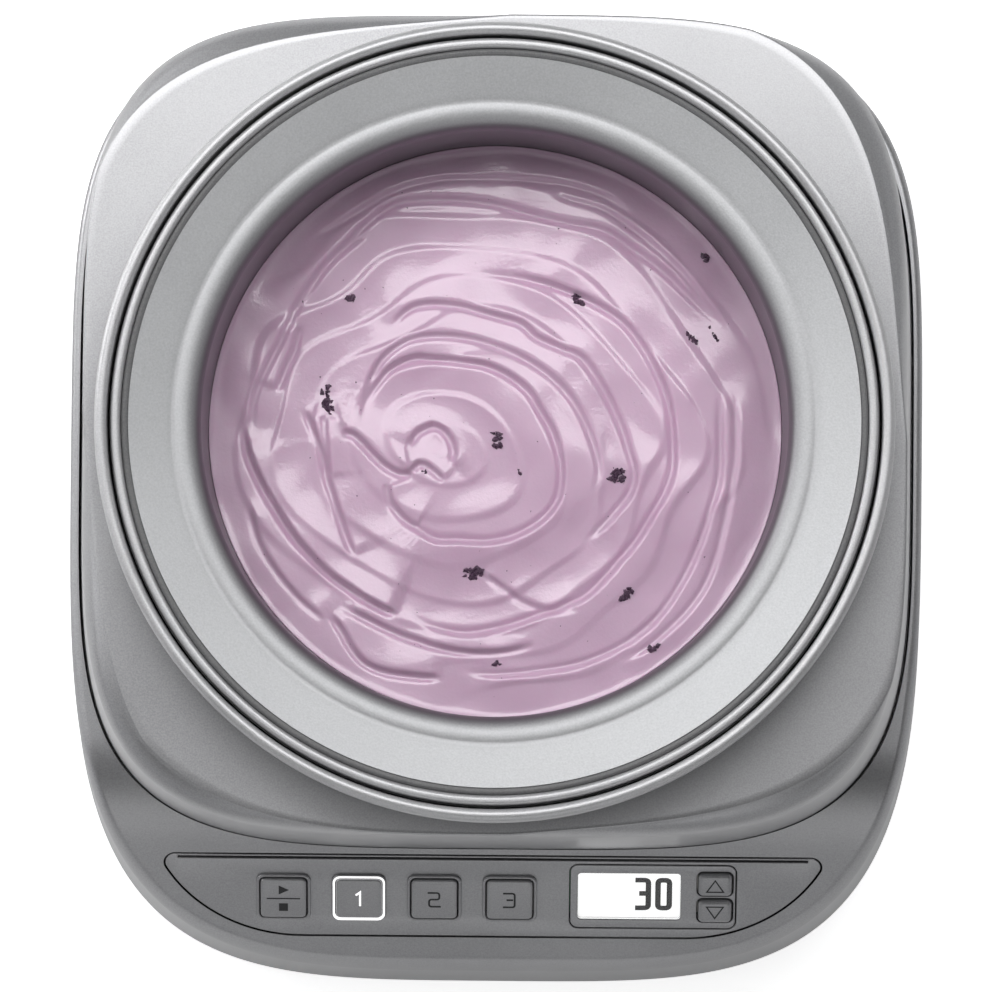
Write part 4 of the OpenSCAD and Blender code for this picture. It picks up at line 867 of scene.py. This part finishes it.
def dessert():
    """The dessert: a polar grid over the top whose height is dessert_height, down the cup's wall and in along
    its floor."""
    turns, rows = 500, 184
    a = np.linspace(0, 2 * np.pi, turns, endpoint=False)
    radius = TOP_RADIUS * (np.arange(1, rows + 1) / rows) ** 0.96
    x, y = radius[None, :] * np.cos(a)[:, None], radius[None, :] * np.sin(a)[:, None]
    z = dessert_height(x, y)
    wall = [[67.0, 150.0], [66.4, 120.0], [65.6, 85.0], [65.3, 74.0]]
    lower = np.concatenate([wall, arc(55.4, 72.1, 9.9, 0, -90, 5)])
    radii = np.concatenate([np.repeat(radius[None], turns, 0), np.repeat(lower[None, :, 0], turns, 0)], 1)
    heights = np.concatenate([z, np.repeat(lower[None, :, 1], turns, 0)], 1)
    columns = radii.shape[1]
    points = loft_points(a, radii, heights)
    top, floor = len(points), len(points) + 1
    points = np.concatenate([points, [[0, 0, z[:, 0].mean()], [0, 0, 62.2]]])
    quads = grid_faces(turns, columns, wrap_columns=False)
    first = np.arange(turns) * columns
    after = np.roll(first, -1)
    caps = np.concatenate([np.stack([after, first, np.full(turns, top)], 1),
                           np.stack([first + columns - 1, after + columns - 1, np.full(turns, floor)], 1)])
    return piece("dessert", points, quads.tolist() + caps.tolist(), berry_cream, "bowl",
                 ["ice_cream"], 180)


def berry_bits():
    """Torn berries and specks. Each bit is a sphere grid pushed in and out by a product of sines with the
    bit's own phases, flattened and half sunk in the dessert; a berry's bits are strewn over its own
    ellipse."""
    rng = np.random.default_rng(7)
    bits = []
    for x, y, long_half, wide_half, turn, count in BERRIES:
        c, s = math.cos(math.radians(turn)), math.sin(math.radians(turn))
        for _ in range(round(1.3 * count)):
            r, t = math.sqrt(rng.uniform()), rng.uniform(0, 2 * np.pi)
            u, v = long_half * r * math.cos(t), wide_half * r * math.sin(t)
            size = rng.uniform(0.32, 0.85) * min(1.0, 0.35 + wide_half)
            bits.append((x + u * c - v * s, y + u * s + v * c, size, 14, 9))
    for _ in range(90):
        r, t = 63 * math.sqrt(rng.uniform()), rng.uniform(0, 2 * np.pi)
        bits.append((r * math.cos(t), r * math.sin(t), rng.uniform(0.08, 0.24), 7, 5))
    all_points, all_faces, count = [], [], 0
    for x, y, size, turns, rows in bits:
        a = np.linspace(0, 2 * np.pi, turns, endpoint=False)[:, None]
        f = np.linspace(0, np.pi, rows)[None, :]
        p = rng.uniform(0, 2 * np.pi, 4)
        push = 1 + 0.3 * np.sin(3 * a + p[0]) * np.sin(2 * f + p[1])
        push = push + 0.25 * np.sin(5 * a + p[2]) * np.sin(4 * f + p[3])
        turn = rng.uniform(0, np.pi)
        u, v = push * np.sin(f) * np.cos(a), push * np.sin(f) * np.sin(a) * rng.uniform(0.45, 0.8)
        w = push * np.cos(f) * 0.6 + 0 * a
        c, s = math.cos(turn), math.sin(turn)
        px, py = x + size * (u * c - v * s), y + size * (u * s + v * c)
        pz = dessert_height(np.array([x]), np.array([y]))[0] + size * (w + 0.1)
        points = np.stack([px, py, pz], 2).reshape(-1, 3)
        all_points.append(points)
        all_faces.append(grid_faces(turns, rows, wrap_columns=False) + count)
        count += len(points)
    points, faces = np.concatenate(all_points), np.concatenate(all_faces)
    return piece("berry_bits", points, faces, berry_skin, "bowl", (), 60)


berry_cream = cream_finish()
berry_skin = grained("berry_skin", (0.03, 0.012, 0.03), (0.20, 0.12, 0.19), 0.3, 0, 1400, 0.5, 0.0002)
dessert()
berry_bits()

# ---- finishes of the carried-over CAD nodes ----

lcd_white, _, _, lcd = material("lcd_white")
lcd.inputs["Base Color"].default_value = (0.85, 0.86, 0.85, 1)
lcd.inputs["Emission Color"].default_value = (1, 1, 1, 1)
lcd.inputs["Emission Strength"].default_value = 0.9
lens_clear, _, _, lens = material("lens_clear")
lens.inputs["Transmission Weight"].default_value = 1
lens.inputs["Roughness"].default_value = 0.02

FINISHES = [
    (dark_moulding, "bottom_cover cord_gland"), (well_moulding, "bowl_well"), (bowl_moulding, "bowl_shell"),
    (coolant_gel, "bowl_coolant"), (nylon, "bowl_socket drive_hub spindle_gear gear_b gear_a"),
    (ground_steel, "drive_spindle motor_shaft axle_b axle_a motor motor_screws gearbox_screws"),
    (ground_steel, "column_screws well_screws cover_screws"), (seal_rubber, "shaft_seal"),
    (bearing_metal, "motor_pinion lower_bush upper_bush"), (gearbox_moulding, "gear_case gear_case_lid"),
    (circuit_green, "control_board power_board"), (mat_silicone, "key_mat arrow_mat"),
    (core_iron, "transformer"), (lcd_white, "lcd_module"), (lens_clear, "display_lens"),
    (foot_rubber, "foot_front_left foot_front_right foot_back_left foot_back_right"),
]
for finish, nodes in FINISHES:
    for node in nodes.split():
        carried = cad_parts[node].data
        carried.materials.clear()
        carried.materials.append(finish)

# ---- floor, world and lights ----

# Strengths of the white surround near the horizon and overhead, and of the floor's own white
HORIZON_LIGHT, OVERHEAD_LIGHT, FLOOR_WHITE = 0.5, 0.02, 0.75
# Shares of the white that a mirrored ray meets in the surround and on the floor
SKY_IN_METAL, FLOOR_IN_METAL = 0.06, 0.25
# Place and aim in metres, sides in metres, and watts
LAMPS = {
    "over_back": ((-0.05, 0.42, 0.95), (-0.05, 0.421, 0), 1.2, 0.5, 7.7),
    "over_left": ((-0.5, 0.1, 0.95), (-0.5, 0.101, 0), 0.5, 0.9, 1.0),
    "left": ((-1.1, 0.1, 0.7), (0, 0, 0.1), 0.7, 0.9, 2.3),
    "left_low": ((-1.1, 0.45, 0.3), (0, 0, 0.15), 0.5, 0.3, 3.5),
    "back_left": ((-0.7, 0.75, 0.5), (-0.08, 0.09, 0.18), 0.6, 0.35, 0.8),
    "right": ((1.1, 0.1, 0.7), (0, 0, 0.1), 0.7, 0.9, 0.4),
    "front": ((0.0, -1.1, 0.9), (0, 0, 0.1), 1.0, 0.6, 1.8),
    "top": ((0.1, 0.3, 2.2), (0, 0, 0.1), 1.4, 1.4, 3.1),
}


def make_studio():
    """A white surround that dims overhead, a pale floor and soft lamps, the strongest over the machine's
    back."""
    world = bpy.data.worlds.new("studio")
    bpy.context.scene.world = world
    world.use_nodes = True
    nodes, links = world.node_tree.nodes, world.node_tree.links

    def seen_share(nodes, links, in_metal):
        """1 for rays from the camera and through glass, in_metal for mirrored rays, 0 for the rest."""
        path = nodes.new("ShaderNodeLightPath")
        either, share = nodes.new("ShaderNodeMath"), nodes.new("ShaderNodeMath")
        either.operation, share.operation = "MAXIMUM", "MULTIPLY_ADD"
        links.new(path.outputs["Is Camera Ray"], either.inputs[0])
        links.new(path.outputs["Is Transmission Ray"], either.inputs[1])
        share.inputs[1].default_value = in_metal
        links.new(path.outputs["Is Glossy Ray"], share.inputs[0])
        links.new(either.outputs[0], share.inputs[2])
        return share.outputs[0]

    place = nodes.new("ShaderNodeTexCoord")
    split = nodes.new("ShaderNodeSeparateXYZ")
    links.new(place.outputs["Generated"], split.inputs[0])
    rise = nodes.new("ShaderNodeMapRange")
    rise.interpolation_type = "SMOOTHSTEP"
    rise.inputs["From Min"].default_value = 0.15
    rise.inputs["From Max"].default_value = 0.6
    rise.inputs["To Min"].default_value = HORIZON_LIGHT
    rise.inputs["To Max"].default_value = OVERHEAD_LIGHT
    links.new(split.outputs["Z"], rise.inputs["Value"])
    links.new(rise.outputs["Result"], nodes["Background"].inputs["Strength"])
    nodes["Background"].inputs["Color"].default_value = (0.97, 0.98, 1.0, 1)
    white = nodes.new("ShaderNodeBackground")
    white.inputs["Color"].default_value = (1, 1, 1, 1)
    pick = nodes.new("ShaderNodeMixShader")
    links.new(seen_share(nodes, links, SKY_IN_METAL), pick.inputs["Fac"])
    links.new(nodes["Background"].outputs[0], pick.inputs[1])
    links.new(white.outputs[0], pick.inputs[2])
    links.new(pick.outputs[0], nodes["World Output"].inputs["Surface"])

    mesh = bpy.data.meshes.new("floor")
    corners = [(-3, -3, 0), (3, -3, 0), (3, 3, 0), (-3, 3, 0)]
    mesh.from_pydata(corners, [], [(0, 1, 2, 3)])
    floor = bpy.data.objects.new("floor", mesh)
    bpy.context.scene.collection.objects.link(floor)
    pale, nodes, links, shader = material("floor_white")
    shader.inputs["Base Color"].default_value = (0.85, 0.85, 0.85, 1)
    shader.inputs["Roughness"].default_value = 0.9
    glow = nodes.new("ShaderNodeMath")
    glow.operation = "MULTIPLY"
    glow.inputs[1].default_value = FLOOR_WHITE
    links.new(seen_share(nodes, links, FLOOR_IN_METAL), glow.inputs[0])
    shader.inputs["Emission Color"].default_value = (1, 1, 1, 1)
    links.new(glow.outputs[0], shader.inputs["Emission Strength"])
    mesh.materials.append(pale)

    def lamp(name, place, aim, size_x, size_y, power):
        data = bpy.data.lights.new(name, "AREA")
        data.shape = "RECTANGLE"
        data.size, data.size_y, data.energy = size_x, size_y, power
        light = bpy.data.objects.new(name, data)
        bpy.context.scene.collection.objects.link(light)
        light.location = place
        light.visible_camera = False
        light.rotation_mode = "QUATERNION"
        light.rotation_quaternion = (Vector(aim) - Vector(place)).to_track_quat("-Z", "Y")

    for name, (place, aim, size_x, size_y, power) in LAMPS.items():
        lamp(name, place, aim, size_x, size_y, power)


make_studio()
bpy.context.scene.view_settings.view_transform = "Standard"
